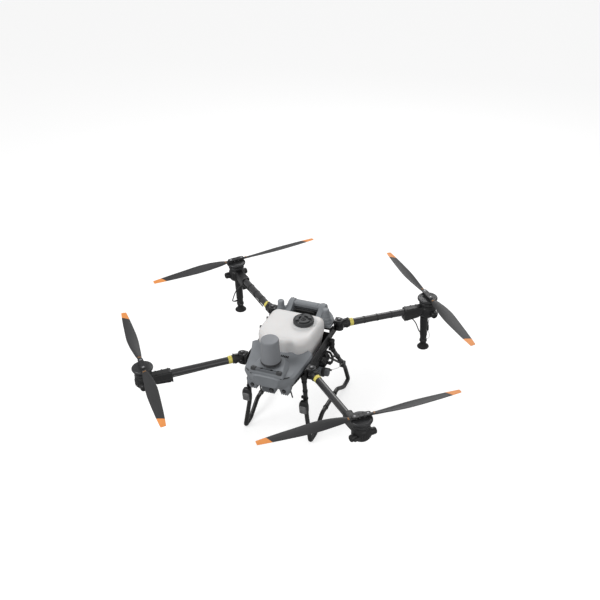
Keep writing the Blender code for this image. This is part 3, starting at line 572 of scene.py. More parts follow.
    # --- motor mount and speed controller housing
    base = [(0.0, 0.4862), (0.026, 0.4862), (0.036, 0.4880), (0.0470, 0.4935), (0.0530, 0.5030), (0.0560, 0.5150), (0.0565, 0.5420), (0.0545, 0.5560), (0.0500, 0.5640), (0.0480, 0.5660), (0.0480, 0.5700), (0.0505, 0.5712), (0.0505, 0.5780), (0.0, 0.5784)]
    parts = [revolve("base", base, BLACK, Mo, 72)]
    for q in range(18):                               # cooling ribs round the lower half, clear of the arm
        a = radians(180 + 50 + q * (260 / 17.0))
        parts.append(box("rib", 0.052, 0.0580, -0.0014, 0.0014, 0.5060, 0.5460, BLACK, Mo @ Matrix.Rotation(a, 4, "Z"), 0.0006, 1))
    clamp = [rounded(-0.0285, 0.0285, -0.0280, 0.0280, 0.011, 0.011, 0, 5)]
    ring = [(y, z) for y, z, _ in clamp[0]]
    cl = [[(x, y * s, z * s) for y, z in ring] for x, s in ((ARM_LEN - 0.170, 0.90), (ARM_LEN - 0.166, 0.985), (ARM_LEN - 0.150, 1.0), (ARM_LEN - 0.060, 1.0), (ARM_LEN - 0.040, 1.04))]
    parts.append(loft("clamp", cl, BLACK, P))
    for s in (1, -1):
        for q in (0.155, 0.115, 0.075):
            parts.append(bolt("b", ARM_LEN - q, s * 0.0200, 0.0281, P, 0.0036, 0.0026, "Z", ALLOY_B))
        # side lugs with recessed faces
        L2 = Mo @ Matrix.Translation((0.018, 0, 0.524)) @ Matrix.Rotation(0 if s > 0 else pi, 4, "Z")
        parts.append(revolve("lug", [(0.0, 0.030), (0.0185, 0.030), (0.0215, 0.050), (0.0218, 0.074), (0.0195, 0.0805), (0.0165, 0.0828), (0.0120, 0.0828), (0.0110, 0.0790), (0.0, 0.0785)], BLACK, L2, 32, "Y"))
        parts.append(box("lug_web", -0.0300, 0.000, 0.030, 0.0680, -0.0100, 0.0120, BLACK, L2, 0.003, 2))
    # heat-sink wedge with fins under the tube, and its flared end plate
    wd = [(-0.168, z1 - 0.0490), (-0.150, z1 - 0.0490), (-0.062, z1 - 0.0420), (-0.040, z1 - 0.0330), (-0.040, z1 - 0.0150), (-0.165, z1 - 0.0150)]
    parts.append(slab("wedge", wd, -0.0210, 0.0210, BLACK, Mo, 0.002, 2, "xz"))
    for q in range(9):
        y = -0.0220 + q * 0.0055
        parts.append(slab("fin", [(-0.160, z1 - 0.0515), (-0.070, z1 - 0.0440), (-0.070, z1 - 0.0400), (-0.160, z1 - 0.0460)], y - 0.0009, y + 0.0009, ALLOY_B, Mo, 0, 1, "xz"))
    parts.append(box("flare", -0.1735, -0.1660, -0.0270, 0.0270, z1 - 0.0500, z1 + 0.010, BLACK, Mo, 0.002, 2))
    done(merge("motor_housing_" + k, parts), body, "motor_mount_" + k)
    # --- cable from the arm into the housing
    cab = fillet_path([P @ Vector((0.090, 0.0, -0.0262)), P @ Vector((0.180, 0.0, -0.0250)), P @ Vector((0.30, 0.004, -0.0262)), P @ Vector((ARM_LEN - 0.172, 0.004, -0.0290))], 0.03)
    done(sweep("arm_cable_" + k, cab, 0.0028, HOSE, None, 10), body)
    # --- rotor bell, vented disc, clamp bar and bolts
    bell = [(0.0, 0.5802), (0.0480, 0.5802), (0.0510, 0.5815), (0.0528, 0.5850), (0.0530, 0.5945), (0.0505, 0.5985), (0.0472, 0.6005), (0.0468, 0.6070), (0.0490, 0.6085), (0.0600, 0.6120), (0.0645, 0.6150), (0.0660, 0.6190), (0.0660, 0.6235), (0.0645, 0.6262), (0.0610, 0.6285), (0.0560, 0.6300), (0.0540, 0.6296), (0.0525, 0.6302), (0.0300, 0.6312), (0.0, 0.6314)]
    parts = [revolve("bell", bell, HUB, R, 72)]
    for q in range(28):
        parts.append(box("vane", 0.0510, 0.0537, -0.0012, 0.0012, 0.5840, 0.5960, ALLOY_B, R @ Matrix.Rotation(2 * pi * q / 28, 4, "Z"), 0, 1))
    for q in range(6):
        parts.append(bolt("db", 0.047 * cos(q * pi / 3 + 0.9), 0.047 * sin(q * pi / 3 + 0.9), 0.6304, R, 0.0030, 0.0014, "Z", ALLOY_B))
    grip = [(0.0575, 0.0095), (0.0540, 0.0140), (0.0440, 0.0168), (0.0200, 0.0180), (0.0, 0.0160), (-0.0200, 0.0180), (-0.0440, 0.0168), (-0.0540, 0.0140), (-0.0575, 0.0095)]
    grip = grip + [(x, -y) for x, y in reversed(grip)]
    parts.append(slab("low", grip, 0.6250, 0.6338, ALLOY_B, R, 0.0012, 2))
    parts.append(slab("top", grip, 0.6514, 0.6552, ALLOY_B, R, 0.0012, 3))
    parts.append(box("core", -0.0215, 0.0215, -0.0118, 0.0118, 0.630, 0.654, BLACK, R, 0.002, 2))
    for s in (1, -1):
        parts.append(revolve("shank", [(0.0, 0.630), (0.0036, 0.630), (0.0036, 0.654), (0.0, 0.654)], STEEL, R @ Matrix.Translation((s * PIVOT_R, 0, 0)), 16))
        parts.append(revolve("head", [(0.0, 0.6546), (0.0078, 0.6546), (0.0078, 0.6558), (0.0064, 0.6566), (0.0040, 0.6572), (0.0036, 0.6566), (0.0, 0.6566)], STEEL, R @ Matrix.Translation((s * PIVOT_R, 0, 0)), 24))
        for q in (1, -1):
            parts.append(bolt("b", s * 0.012, q * 0.0100, 0.6552, R, 0.0028, 0.0016, "Z", ALLOY_B))
            parts.append(revolve("side", [(0.0, 0.0), (0.0046, 0.0), (0.0042, 0.0024), (0.0, 0.0026)], STEEL, R @ Matrix.Translation((s * 0.014, q * 0.0105, 0.6430)) @ Matrix.Rotation(0 if q > 0 else pi, 4, "Z"), 14, "Y"))
    done(merge("rotor_hub_" + k, parts), rbody, "rotor_bell_" + k)
    # --- blades with a small mark at the root
    hand = 1 if sx * sy > 0 else -1
    for nm, a in (("a", 0.0), ("b", pi)):
        Mb = R @ Matrix.Rotation(a, 4, "Z") @ Matrix.Translation((PIVOT_R, 0, BLADE_Z))
        bl = blade("bl", hand, Mb)
        mk = box("mk", 0.034, 0.0385, -0.0100, 0.0100, 0.0054, 0.0066, MARK, Mb @ Matrix.Rotation(radians(7) * hand, 4, "X"), 0.0003, 1)
        mk2 = box("mk", 0.0405, 0.0420, -0.0100, 0.0100, 0.0052, 0.0064, MARK, Mb @ Matrix.Rotation(radians(9) * hand, 4, "X"), 0.0003, 1)
        bl.name = "x"
        o = merge(f"propeller_blade_{k}_{nm}", [bl, mk, mk2])
        done(o, f"blade_{k}_{nm}", f"blade_{k}_{nm}")
    # --- centrifugal nozzle
    if row == "rear":
        No = A @ Matrix.Translation((ARM_LEN - NOZZLE_IN, 0, 0))
        stem = [(0.0, 0.2762), (0.0185, 0.2762), (0.0225, 0.2790), (0.0252, 0.2835), (0.0256, 0.2940), (0.0236, 0.2990), (0.0205, 0.3020), (0.0205, 0.3060), (0.0218, 0.3100), (0.0256, 0.4100), (0.0266, 0.4400), (0.0266, 0.4760), (0.0250, 0.4850), (0.0, 0.4858)]
        parts = [revolve("stem", stem, BLACK, No, 48)]
        for q in range(10):
            parts.append(box("rib", 0.0215, 0.0248, -0.0011, 0.0011, 0.330, 0.452, BLACK, No @ Matrix.Rotation(2 * pi * q / 10, 4, "Z"), 0.0004, 1))
        parts.append(revolve("inlet", [(0.0, 0.012), (0.0068, 0.014), (0.0068, 0.030), (0.0054, 0.031), (0.0054, 0.036), (0.0062, 0.037), (0.0046, 0.044), (0.0, 0.044)], BLACK, No @ Matrix.Translation((0, 0, 0.318)), 20, "Y"))
        parts.append(bolt("b", 0.0, 0.0, 0.0, No @ Matrix.Translation((0.0235, 0.004, 0.2900)) @ Matrix.Rotation(radians(-90), 4, "Z"), 0.0040, 0.0024, "Y"))
        parts.append(bolt("b", 0.0, 0.0, 0.0, No @ Matrix.Translation((-0.0235, 0.004, 0.2900)) @ Matrix.Rotation(radians(90), 4, "Z"), 0.0040, 0.0024, "Y"))
        done(merge("nozzle_column_" + k, parts), body, "nozzle_stem_" + k)
        disc = [(0.0, 0.2340), (0.0200, 0.2335), (0.0330, 0.2322), (0.0385, 0.2335), (0.0402, 0.2360), (0.0400, 0.2392), (0.0372, 0.2410), (0.0345, 0.2440), (0.0300, 0.2480), (0.0250, 0.2560), (0.0215, 0.2640), (0.0200, 0.2700), (0.0200, 0.2752), (0.0, 0.2752)]
        parts = [revolve("disc", disc, RUBBER, No, 60)]
        for q in range(24):
            parts.append(box("tooth", 0.0300, 0.0388, -0.0008, 0.0008, 0.2400, 0.2436, BLACK, No @ Matrix.Rotation(2 * pi * q / 24, 4, "Z"), 0, 1))
        done(merge("nozzle_spinner_" + k, parts), "nozzle_disc_" + k, "nozzle_disc_" + k)
        parts = [box("plug", 0.0262, 0.0362, -0.0070, 0.0050, 0.3620, 0.4040, RUBBER, No, 0.0018, 2), box("plug_neck", 0.0285, 0.0345, -0.0035, 0.0015, 0.4020, 0.4300, BLACK, No, 0.0012, 2),
                 box("plug_tail", 0.0290, 0.0340, -0.0030, 0.0010, 0.3520, 0.3640, BLACK, No, 0.0010, 2)]
        up_lead = fillet_path([No @ Vector((0.0315, -0.001, 0.4280)), No @ Vector((0.0400, -0.001, 0.4500)), No @ Vector((0.0250, -0.001, 0.4720))], 0.02)
        parts.append(sweep("lead_top", up_lead, 0.0020, RUBBER, None, 10))
        done(merge("nozzle_plug_" + k, parts), body)
        lead = fillet_path([No @ Vector((0.0315, -0.001, 0.3560)), No @ Vector((0.0450, -0.001, 0.3300)), No @ Vector((0.0440, -0.001, 0.2950)), No @ Vector((0.0245, -0.001, 0.2880))], 0.02)
        done(sweep("nozzle_lead_" + k, lead, 0.0016, HOSE_C, None, 10), body)
        hp = fillet_path([No @ Vector((0.0, 0.043, 0.318)), No @ Vector((-0.006, 0.062, 0.330)), No @ Vector((-0.040, 0.048, 0.420)), No @ Vector((-0.110, 0.034, z1 - 0.040)), P @ Vector((ARM_LEN - 0.175, 0.0262, -0.012)), P @ Vector((0.30, 0.0268, -0.006)), P @ Vector((0.100, 0.0300, -0.006))], 0.05)
        done(sweep("spray_line_" + k, hp, 0.0038, HOSE, None, 12), body)
        for q in (0.17, 0.26, 0.36):
            done(revolve(f"line_clip_{k}_{int(q * 100)}", [(TUBE_R + 0.0002, q), (TUBE_R + 0.0022, q + 0.0005), (TUBE_R + 0.0022, q + 0.0075), (TUBE_R + 0.0002, q + 0.008)], BLACK, P, 40, "X"), body)

# ------------------------------------------------------------------ rotating radar
done(revolve("radar_collar", [(0.0, 0.6076), (0.0605, 0.6076), (0.0625, 0.6085), (0.0642, 0.6105), (0.0642, 0.6185), (0.0625, 0.6208), (0.0, 0.6210)], DARK, Matrix.Translation((0, RAD_Y, 0)), 96, ribs=(48, -0.0006, 0.609, 0.6190)), "airframe", "radar_base")
dome = [(0.0580, 0.6214), (0.0607, 0.6214), (0.0608, 0.6250), (0.0602, 0.6400), (0.0564, 0.7560), (0.0558, 0.7640), (0.0545, 0.7690), (0.0520, 0.7722), (0.0480, 0.7733), (0.0, 0.7735), (0.0, 0.7700), (0.0490, 0.7695), (0.0530, 0.7600)]
done(revolve("radar_dome", dome, RADOME, Matrix.Translation((0, RAD_Y, 0)), 96), "airframe", "radar_radome")

# ------------------------------------------------------------------ front hood
def dense(x0, x1, y0, y1, rf, rr, z, n=176, notch=0.0):
    """A rounded rectangle resampled evenly, with a soft upright channel pushed into its front edge."""
    base = rounded(x0, x1, y0, y1, rf, rr, z, 10)
    pts = [Vector(p) for p in base]
    seg = [(pts[i], pts[(i + 1) % len(pts)]) for i in range(len(pts))]
    total = sum((b - a).length for a, b in seg)
    out, run, i = [], 0.0, 0
    acc = 0.0
    for q in range(n):
        want = total * q / n
        while acc + (seg[i][1] - seg[i][0]).length < want:
            acc += (seg[i][1] - seg[i][0]).length
            i += 1
        a, b = seg[i]
        t = (want - acc) / max((b - a).length, 1e-9)
        p = a.lerp(b, min(max(t, 0), 1))
        if notch and p.y < y0 + 0.05:
            from_mid = (p.x - 0.070) / 0.026
            p = Vector((p.x, p.y + notch * 2.718281828 ** (-from_mid * from_mid), p.z))
        out.append(tuple(p))
    return out


TANK = [  # height, half width, front, rear, front corner, rear corner, channel depth
    (0.470, 0.140, -0.125, 0.110, 0.040, 0.030, 0.0), (0.474, 0.149, -0.136, 0.119, 0.046, 0.034, 0.002), (0.484, 0.158, -0.146, 0.128, 0.055, 0.036, 0.006), (0.505, 0.1630, -0.156, 0.136, 0.064, 0.038, 0.010),
    (0.530, 0.1670, -0.162, 0.141, 0.072, 0.038, 0.013), (0.560, 0.1710, -0.168, 0.1460, 0.082, 0.040, 0.015), (0.585, 0.1775, -0.171, 0.1490, 0.088, 0.042, 0.016), (0.600, 0.1800, -0.172, 0.150, 0.090, 0.044, 0.016),
    (0.640, 0.1800, -0.172, 0.150, 0.092, 0.044, 0.014), (0.654, 0.1790, -0.170, 0.1490, 0.092, 0.044, 0.010), (0.666, 0.1745, -0.164, 0.1460, 0.090, 0.042, 0.006), (0.6745, 0.1655, -0.154, 0.139, 0.084, 0.037, 0.002),
    (0.6785, 0.1570, -0.145, 0.131, 0.078, 0.033, 0.0), (0.6800, 0.1450, -0.132, 0.120, 0.068, 0.028, 0.0), (0.6805, 0.1200, -0.107, 0.096, 0.050, 0.022, 0.0)]


def tank_loops(grow=0.0, n=176):
    return [dense(-hx - grow, hx + grow, y0 - grow, y1 + grow, rf + grow, rr + grow, z, n, nt) for z, hx, y0, y1, rf, rr, nt in TANK]


HOOD = [
    (-0.4150, [(0.066, 0.484), (0.079, 0.490), (0.083, 0.504), (0.084, 0.528), (0.080, 0.545), (0.070, 0.551), (0.045, 0.5545), (0.0, 0.555)]),
    (-0.4090, [(0.070, 0.479), (0.084, 0.486), (0.0885, 0.500), (0.0895, 0.528), (0.086, 0.548), (0.076, 0.556), (0.050, 0.5590), (0.0, 0.560)]),
    (-0.3860, [(0.104, 0.470), (0.121, 0.480), (0.127, 0.498), (0.128, 0.527), (0.124, 0.547), (0.108, 0.557), (0.066, 0.5650), (0.0, 0.568)]),
    (-0.3600, [(0.136, 0.464), (0.154, 0.476), (0.161, 0.497), (0.163, 0.526), (0.159, 0.547), (0.142, 0.558), (0.086, 0.5660), (0.0, 0.571)]),
    (-0.3520, [(0.141, 0.463), (0.159, 0.476), (0.166, 0.498), (0.168, 0.527), (0.164, 0.548), (0.146, 0.559), (0.088, 0.5665), (0.0, 0.572)]),
    (-0.3100, [(0.148, 0.464), (0.165, 0.478), (0.173, 0.502), (0.175, 0.532), (0.170, 0.553), (0.150, 0.562), (0.090, 0.5680), (0.0, 0.574)]),
    (-0.2600, [(0.152, 0.470), (0.170, 0.484), (0.179, 0.510), (0.182, 0.540), (0.177, 0.561), (0.154, 0.567), (0.092, 0.5700), (0.0, 0.576)]),
    (-0.2200, [(0.158, 0.484), (0.176, 0.498), (0.185, 0.520), (0.189, 0.549), (0.184, 0.570), (0.160, 0.574), (0.096, 0.5720), (0.0, 0.577)]),
    (-0.1850, [(0.166, 0.504), (0.184, 0.516), (0.192, 0.534), (0.196, 0.560), (0.192, 0.581), (0.168, 0.585), (0.102, 0.5780), (0.0, 0.579)]),
    (-0.1500, [(0.176, 0.528), (0.190, 0.538), (0.196, 0.552), (0.203, 0.572), (0.199, 0.593), (0.176, 0.598), (0.110, 0.5860), (0.0, 0.581)]),
    (-0.1220, [(0.184, 0.548), (0.192, 0.554), (0.197, 0.562), (0.2055, 0.578), (0.202, 0.599), (0.181, 0.605), (0.120, 0.5920), (0.0, 0.583)]),
    (-0.1100, [(0.188, 0.556), (0.194, 0.560), (0.198, 0.566), (0.2050, 0.580), (0.2005, 0.596), (0.182, 0.601), (0.124, 0.5900), (0.0, 0.583)]),
]
v, f = [], []
n = len(HOOD[0][1]) * 2 - 1
SHEAR = {-0.1500: 0.30, -0.1220: 0.75, -0.1100: 1.0}
for y, half in HOOD:
    half = [(x - (0.524 - z) * (0.36 if y < -0.21 else 0.10) * (1 if z < 0.524 else 0), z) for x, z in half]
    back_off = lambda x: y - SHEAR.get(y, 0.0) * min(max((x - 0.150) / 0.055, 0.0), 1.0) * 0.040
    v += [(x, back_off(x), z) for x, z in half] + [(-x, back_off(x), z) for x, z in reversed(half[:-1])]
for i in range(len(HOOD) - 1):
    for j in range(n - 1):
        a = i * n + j
        f.append((a, a + n, a + 1 + n, a + 1))
f.append(tuple(range(n)))
hood = obj("front_hood", v, f, GREY, angle=22)
bm = bmesh.new()
bm.from_mesh(hood.data)
top = max(bm.faces, key=lambda q: q.calc_center_median().z)
if top.normal.z < 0:
    bmesh.ops.reverse_faces(bm, faces=bm.faces)
bm.to_mesh(hood.data)
bm.free()
sol = hood.modifiers.new("wall", "SOLIDIFY")
sol.thickness = 0.003
sol.offset = -1
cut = loft("cut", tank_loops(0.0022, 96), GREY)
cut.hide_render = True
bo = hood.modifiers.new("cut", "BOOLEAN")
bo.operation = "DIFFERENCE"
bo.object = cut
bevel(hood, 0.0026, 3, 16)
hood = merge("hood_skin", [hood])
bpy.data.objects.remove(cut, do_unlink=True)
parts = [hood]
# raised pedestal that carries the sensor bar and the radar
lo_out = [(-0.112, -0.404), (0.112, -0.404), (0.116, -0.392), (0.108, -0.300), (0.088, -0.246), (0.060, -0.232), (-0.060, -0.232), (-0.088, -0.246), (-0.108, -0.300), (-0.116, -0.392)]
hi_out = [(-0.101, -0.398), (0.101, -0.398), (0.104, -0.388), (0.082, -0.300), (0.066, -0.262), (0.048, -0.252), (-0.048, -0.252), (-0.066, -0.262), (-0.082, -0.300), (-0.104, -0.388)]
hz = lambda y: 0.5860 + (y + 0.398) * 0.140 if y < -0.30 else 0.6000 + min((y + 0.30) * 0.12, 0.0060)
ped = loft("pedestal", [[(x, y, 0.5560) for x, y in lo_out], [(x, y, 0.5700) for x, y in lo_out], [(x, y, hz(y)) for x, y in hi_out]], GREY, angle=24)
bevel(ped, 0.0040, 4, 20)
parts.append(ped)
done(merge("front_hood", parts), "airframe", "front_shell")
# black inlets: two slits on the corner facets, five vents behind the radar, side grilles
parts = []
for s in (1, -1):
    a = Vector((s * 0.0980, -0.4045, 0.5570))
    b = Vector((s * 0.1440, -0.3720, 0.5600))
    d = (b - a).normalized()
    w = Vector((0, 0, 1)).cross(d).normalized() * 0.0026
    up = Vector((0, 0, 0.0024))
    parts.append(obj("slit", [a - w - up, a + w - up, b + w * 0.6 - up, b - w * 0.6 - up, a - w + up, a + w + up, b + w * 0.6 + up, b - w * 0.6 + up], [(3, 2, 1, 0), (4, 5, 6, 7), (0, 1, 5, 4), (1, 2, 6, 5), (2, 3, 7, 6), (3, 0, 4, 7)], RUBBER))
for s in (1, -1):
    for q in range(5):
        x = s * (0.0190 + q * 0.0112)
        parts.append(box("vent", x - 0.0032, x + 0.0032, -0.2140, -0.1960, 0.5690, 0.5792, RUBBER, None, 0.0008, 2))
done(merge("hood_vents", parts), "airframe")
# textured lower side panels under the wings
parts = []
for s in (1, -1):
    panel = [(-0.344, 0.470), (-0.300, 0.464), (-0.250, 0.470), (-0.200, 0.492), (-0.158, 0.520), (-0.158, 0.548), (-0.200, 0.538), (-0.260, 0.528), (-0.344, 0.521)]
    xs = lambda y, z: s * (0.1785 + (y + 0.310) * 0.13 - (0.535 - z) * 0.42)
    ring_a = [(xs(y, z) - s * 0.004, y, z) for y, z in panel]
    ring_b = [(xs(y, z), y, z) for y, z in panel]
    ring_c = [(xs(y, z) + s * 0.0016, y * 0.96 - 0.0095, 0.5150 + (z - 0.5150) * 0.86) for y, z in panel]
    pn = loft("panel", [ring_a, ring_b, ring_c], DARK, angle=20)
    parts.append(pn)
    for q in range(7):
        y = -0.318 + q * 0.021
        z = 0.490 + max(0, (y + 0.25)) * 0.42
        parts.append(loft("rib", [[(xs(y, z + h) + s * o, y + a, z + h) for h, a in ((-0.014, -0.003), (-0.014, 0.003), (0.020, 0.003), (0.020, -0.003))] for o in (0.0, 0.0034)], RUBBER))
done(merge("hood_side_grilles", parts), "airframe")

# ------------------------------------------------------------------ chin lobes, sensing pod and nose sensor bar
parts = [box("pan", -0.1120, 0.1120, -0.3700, -0.2000, 0.4560, 0.4660, GREY, None, 0.003, 3)]
for s in (1, -1):
    cx, cy = s * 0.108, -0.356
    rings = []
    for z, hx, hy, ox, oy in ((0.500, 0.036, 0.022, 0.0, 0.006), (0.476, 0.036, 0.028, 0.0, 0.004), (0.460, 0.035, 0.030, -s * 0.001, 0.004), (0.442, 0.032, 0.029, -s * 0.002, 0.005), (0.4300, 0.029, 0.027, -s * 0.003, 0.006), (0.4285, 0.0275, 0.0255, -s * 0.003, 0.006), (0.4240, 0.0275, 0.0255, -s * 0.003, 0.006), (0.4220, 0.025, 0.023, -s * 0.003, 0.006), (0.4170, 0.023, 0.021, -s * 0.003, 0.006), (0.4160, 0.019, 0.017, -s * 0.003, 0.006)):
        rings.append(rounded(cx + ox - hx, cx + ox + hx, cy + oy - hy, cy + oy + hy, 0.011, 0.011, z, 6))
    parts.append(loft("lobe", rings, GREY, angle=30))
    parts.append(loft("neck", [[(s * 0.060, y, z) for y, z in ((-0.372, 0.452), (-0.316, 0.452), (-0.316, 0.470), (-0.372, 0.470))], [(s * 0.092, y, z) for y, z in ((-0.372, 0.446), (-0.316, 0.446), (-0.316, 0.474), (-0.372, 0.474))]], GREY))
    # ridges in the shell grey darkened as painted shade
    for q in range(4):
        parts.append(box("ridge", cx - 0.023 - s * 0.003 + q * 0.0128, cx - 0.018 - s * 0.003 + q * 0.0128, cy - 0.0185, cy + 0.028, 0.4155, 0.4245, GREY_PAINTED_SHADE, None, 0.001, 2))
    parts.append(revolve("lens", [(0.0, -0.002), (0.0125, -0.002), (0.0125, 0.0030), (0.0110, 0.0040), (0.0095, 0.0028), (0.0, 0.0032)], RUBBER, Matrix.Translation((cx - s * 0.002, cy - 0.0255, 0.4520)) @ Matrix.Rotation(pi, 4, "Z"), 32, "Y"))
    parts.append(revolve("lens_g", [(0.0, 0.0), (0.0092, 0.0), (0.0080, 0.0034), (0.0040, 0.0050), (0.0, 0.0054)], LENS, Matrix.Translation((cx - s * 0.002, cy - 0.0255, 0.4520)) @ Matrix.Rotation(pi, 4, "Z"), 32, "Y"))
done(merge("chin_lobes", parts), "airframe", "chin_pan")
rings = [rounded(-hx, hx, -0.340 - hy, -0.340 + hy, 0.013, 0.013, z, 6) for z, hx, hy in ((0.4700, 0.054, 0.046), (0.4560, 0.053, 0.044), (0.4440, 0.051, 0.043), (0.4250, 0.046, 0.040), (0.4235, 0.0445, 0.0385), (0.4190, 0.0445, 0.0385), (0.4175, 0.0425, 0.0365), (0.4080, 0.038, 0.032), (0.4040, 0.034, 0.028), (0.4030, 0.030, 0.024))]
parts = [loft("pod", rings, GREY, angle=30)]
# pod face and its ridges below in the shell grey darkened as painted shade
parts.append(loft("face", [rounded(-0.040, 0.040, -0.025, 0.025, 0.006, 0.006, 0, 5), rounded(-0.038, 0.038, -0.023, 0.023, 0.005, 0.005, 0.003, 5)], GREY_PAINTED_SHADE, Matrix.Translation((0, -0.3810, 0.4420)) @ Matrix.Rotation(radians(90), 4, "X")))
parts.append(revolve("eye", [(0.0, 0.0), (0.0150, 0.0), (0.0150, 0.0040), (0.0135, 0.0052), (0.0118, 0.0040), (0.0, 0.0036)], RUBBER, Matrix.Translation((0.0240, -0.3825, 0.4410)) @ Matrix.Rotation(pi, 4, "Z"), 36, "Y"))
parts.append(revolve("eye_g", [(0.0, 0.0), (0.0112, 0.0), (0.0098, 0.0050), (0.0050, 0.0066), (0.0, 0.0070)], LENS, Matrix.Translation((0.0240, -0.3825, 0.4410)) @ Matrix.Rotation(pi, 4, "Z"), 36, "Y"))
for q in range(6):
    parts.append(box("rg", -0.034 + q * 0.0125, -0.0285 + q * 0.0125, -0.3700, -0.3100, 0.4020, 0.4090, GREY_PAINTED_SHADE, None, 0.001, 2))
done(merge("sensing_pod", parts), "airframe", "forward_radar_pod")
T = Matrix.Translation((0, -0.3880, 0.5900)) @ Matrix.Rotation(radians(-14), 4, "X")
# sensor bar in the shell grey darkened as painted shade
parts = [loft("bar", [rounded(-0.101, 0.101, -0.0120, 0.0120, 0.010, 0.010, -0.010, 6), rounded(-0.101, 0.101, -0.0120, 0.0120, 0.010, 0.010, 0.0030, 6), rounded(-0.098, 0.098, -0.0095, 0.0095, 0.008, 0.008, 0.0055, 6)], GREY_PAINTED_SHADE, T, angle=30)]
for s in (1, -1):
    parts.append(loft("lump", [rounded(s * 0.084 - 0.0185, s * 0.084 + 0.0185, -0.0150, 0.0135, 0.009, 0.009, -0.010, 6), rounded(s * 0.084 - 0.0180, s * 0.084 + 0.0180, -0.0148, 0.0130, 0.009, 0.009, 0.0060, 6), rounded(s * 0.084 - 0.0140, s * 0.084 + 0.0140, -0.0110, 0.0095, 0.007, 0.007, 0.0090, 6)], DARK, T, angle=30))
    parts.append(revolve("cam", [(0.0, 0.0), (0.0078, 0.0), (0.0078, 0.0030), (0.0066, 0.0036), (0.0, 0.0034)], RUBBER, T @ Matrix.Translation((s * 0.033, -0.0005, 0.0050)), 28))
    parts.append(revolve("camg", [(0.0, 0.0), (0.0056, 0.0), (0.0050, 0.0040), (0.0024, 0.0050), (0.0, 0.0052)], LENS, T @ Matrix.Translation((s * 0.033, -0.0005, 0.0050)), 28))
    parts.append(revolve("lampg", [(0.0, 0.0), (0.0040, 0.0), (0.0034, 0.0022), (0.0, 0.0028)], LENS, T @ Matrix.Translation((s * 0.084, -0.0010, 0.0082)), 20))
done(merge("nose_sensor_bar_cover", parts), "airframe", "nose_sensor_bar")

# ------------------------------------------------------------------ spray tank
tk = loft("tank", tank_loops(), TANKM, angle=70)
parts = [tk]
collar = [(0.0460, 0.6740), (0.0740, 0.6740), (0.0765, 0.6775), (0.0770, 0.6795), (0.0755, 0.6825), (0.0725, 0.6835), (0.0690, 0.6835), (0.0640, 0.6850), (0.0570, 0.6880), (0.0560, 0.6940), (0.0460, 0.6940)]
parts.append(revolve("collar", collar, TANKM, Matrix.Translation((CAP_X, CAP_Y, 0)), 96, angle=60))
done(merge("tank_body", parts), "spray_tank", "spray_tank")
parts = []
for y in (-0.060, 0.045):                # small black catches on the right-hand edge
    parts.append(box("catch", -0.1865, -0.1720, y - 0.009, y + 0.009, 0.6180, 0.6560, RUBBER, None, 0.002, 3))
    parts.append(box("tongue", -0.1880, -0.1720, y - 0.0055, y + 0.0055, 0.6530, 0.6640, BLACK, None, 0.0015, 2))
done(merge("tank_catches", parts), "spray_tank")
C = Matrix.Translation((CAP_X, CAP_Y, -0.0065))
lid = [(0.0, 0.7030), (0.0560, 0.7030), (0.0580, 0.7010), (0.0600, 0.6935), (0.0640, 0.6935), (0.0660, 0.6955), (0.0665, 0.7125), (0.0650, 0.7158), (0.0615, 0.7176), (0.0590, 0.7180), (0.0565, 0.7162), (0.0545, 0.7158), (0.0180, 0.7158), (0.0, 0.7160)]
parts = [revolve("lid", lid, DARK, C, 144, ribs=(36, -0.0012, 0.6960, 0.7120))]
for q in range(3):                       # three raised grip arcs and a centre boss
    a0 = radians(18 + q * 120)
    arc_o = [(0.0505 * cos(a0 + t), 0.0505 * sin(a0 + t)) for t in [radians(86) * i / 14 for i in range(15)]]
    arc_i = [(0.0300 * cos(a0 + t), 0.0300 * sin(a0 + t)) for t in [radians(86) * i / 14 for i in range(14, -1, -1)]]
    arc_s = [(x * 0.985, y * 0.985) for x, y in arc_o] + [(x * 1.04, y * 1.04) for x, y in arc_i]
    parts.append(loft("grip", [[(x, y, z) for x, y in arc_o + arc_i] for z in (0.7150, 0.7235)] + [[(x, y, 0.7250) for x, y in arc_s]], DARK, C, angle=30))
    parts.append(box("notch", 0.0500, 0.0600, -0.0045, 0.0045, 0.7140, 0.7186, RUBBER, C @ Matrix.Rotation(a0 - radians(17), 4, "Z"), 0.001, 2))
    parts.append(box("slot", 0.0245, 0.0270, -0.0100, 0.0100, 0.7156, 0.7166, RUBBER, C @ Matrix.Rotation(a0 + radians(43), 4, "Z"), 0, 1))
parts.append(revolve("boss", [(0.0, 0.715), (0.0150, 0.715), (0.0150, 0.7205), (0.0130, 0.7225), (0.0095, 0.7225), (0.0090, 0.7195), (0.0, 0.7195)], DARK, C, 40))
parts.append(revolve("vent", [(0.0, 0.7190), (0.0058, 0.7190), (0.0054, 0.7216), (0.0, 0.7220)], RUBBER, C, 24))
done(merge("tank_cap", parts), "tank_lid", "tank_lid")

# ------------------------------------------------------------------ rear cover round the battery bay
deck = [(-0.182, 0.1720), (0.182, 0.1720), (0.191, 0.178), (0.1945, 0.188), (0.1965, 0.252), (0.190, 0.274), (0.156, 0.312), (0.124, 0.330), (-0.124, 0.330), (-0.156, 0.312), (-0.190, 0.274), (-0.1965, 0.252), (-0.1945, 0.188), (-0.191, 0.178)]
drop = lambda x: max(abs(x) - 0.120, 0.0) * 0.36
rows = []
for g, z in ((1.0, 0.5900), (1.0, 0.6060), (0.985, 0.6145), (0.955, 0.6200)):
    rows.append([(x * g, 0.176 + (y - 0.176) * g, z) for x, y in deck])
v, f = [], []
cols = [-0.1965 + 0.393 * i / 26 for i in range(27)]


def edge_y(x, g):
    x = abs(x) / g
    lo_y = 0.1720 if x < 0.182 else 0.1720 + (x - 0.182) * 0.9
    hi_y = 0.330 if x < 0.124 else (0.330 - (x - 0.124) * 0.5625 if x < 0.156 else (0.312 - (x - 0.156) * 1.1176 if x < 0.190 else 0.274 - (x - 0.190) * 3.2))
    return 0.176 + (lo_y - 0.176) * g, 0.176 + (hi_y - 0.176) * g


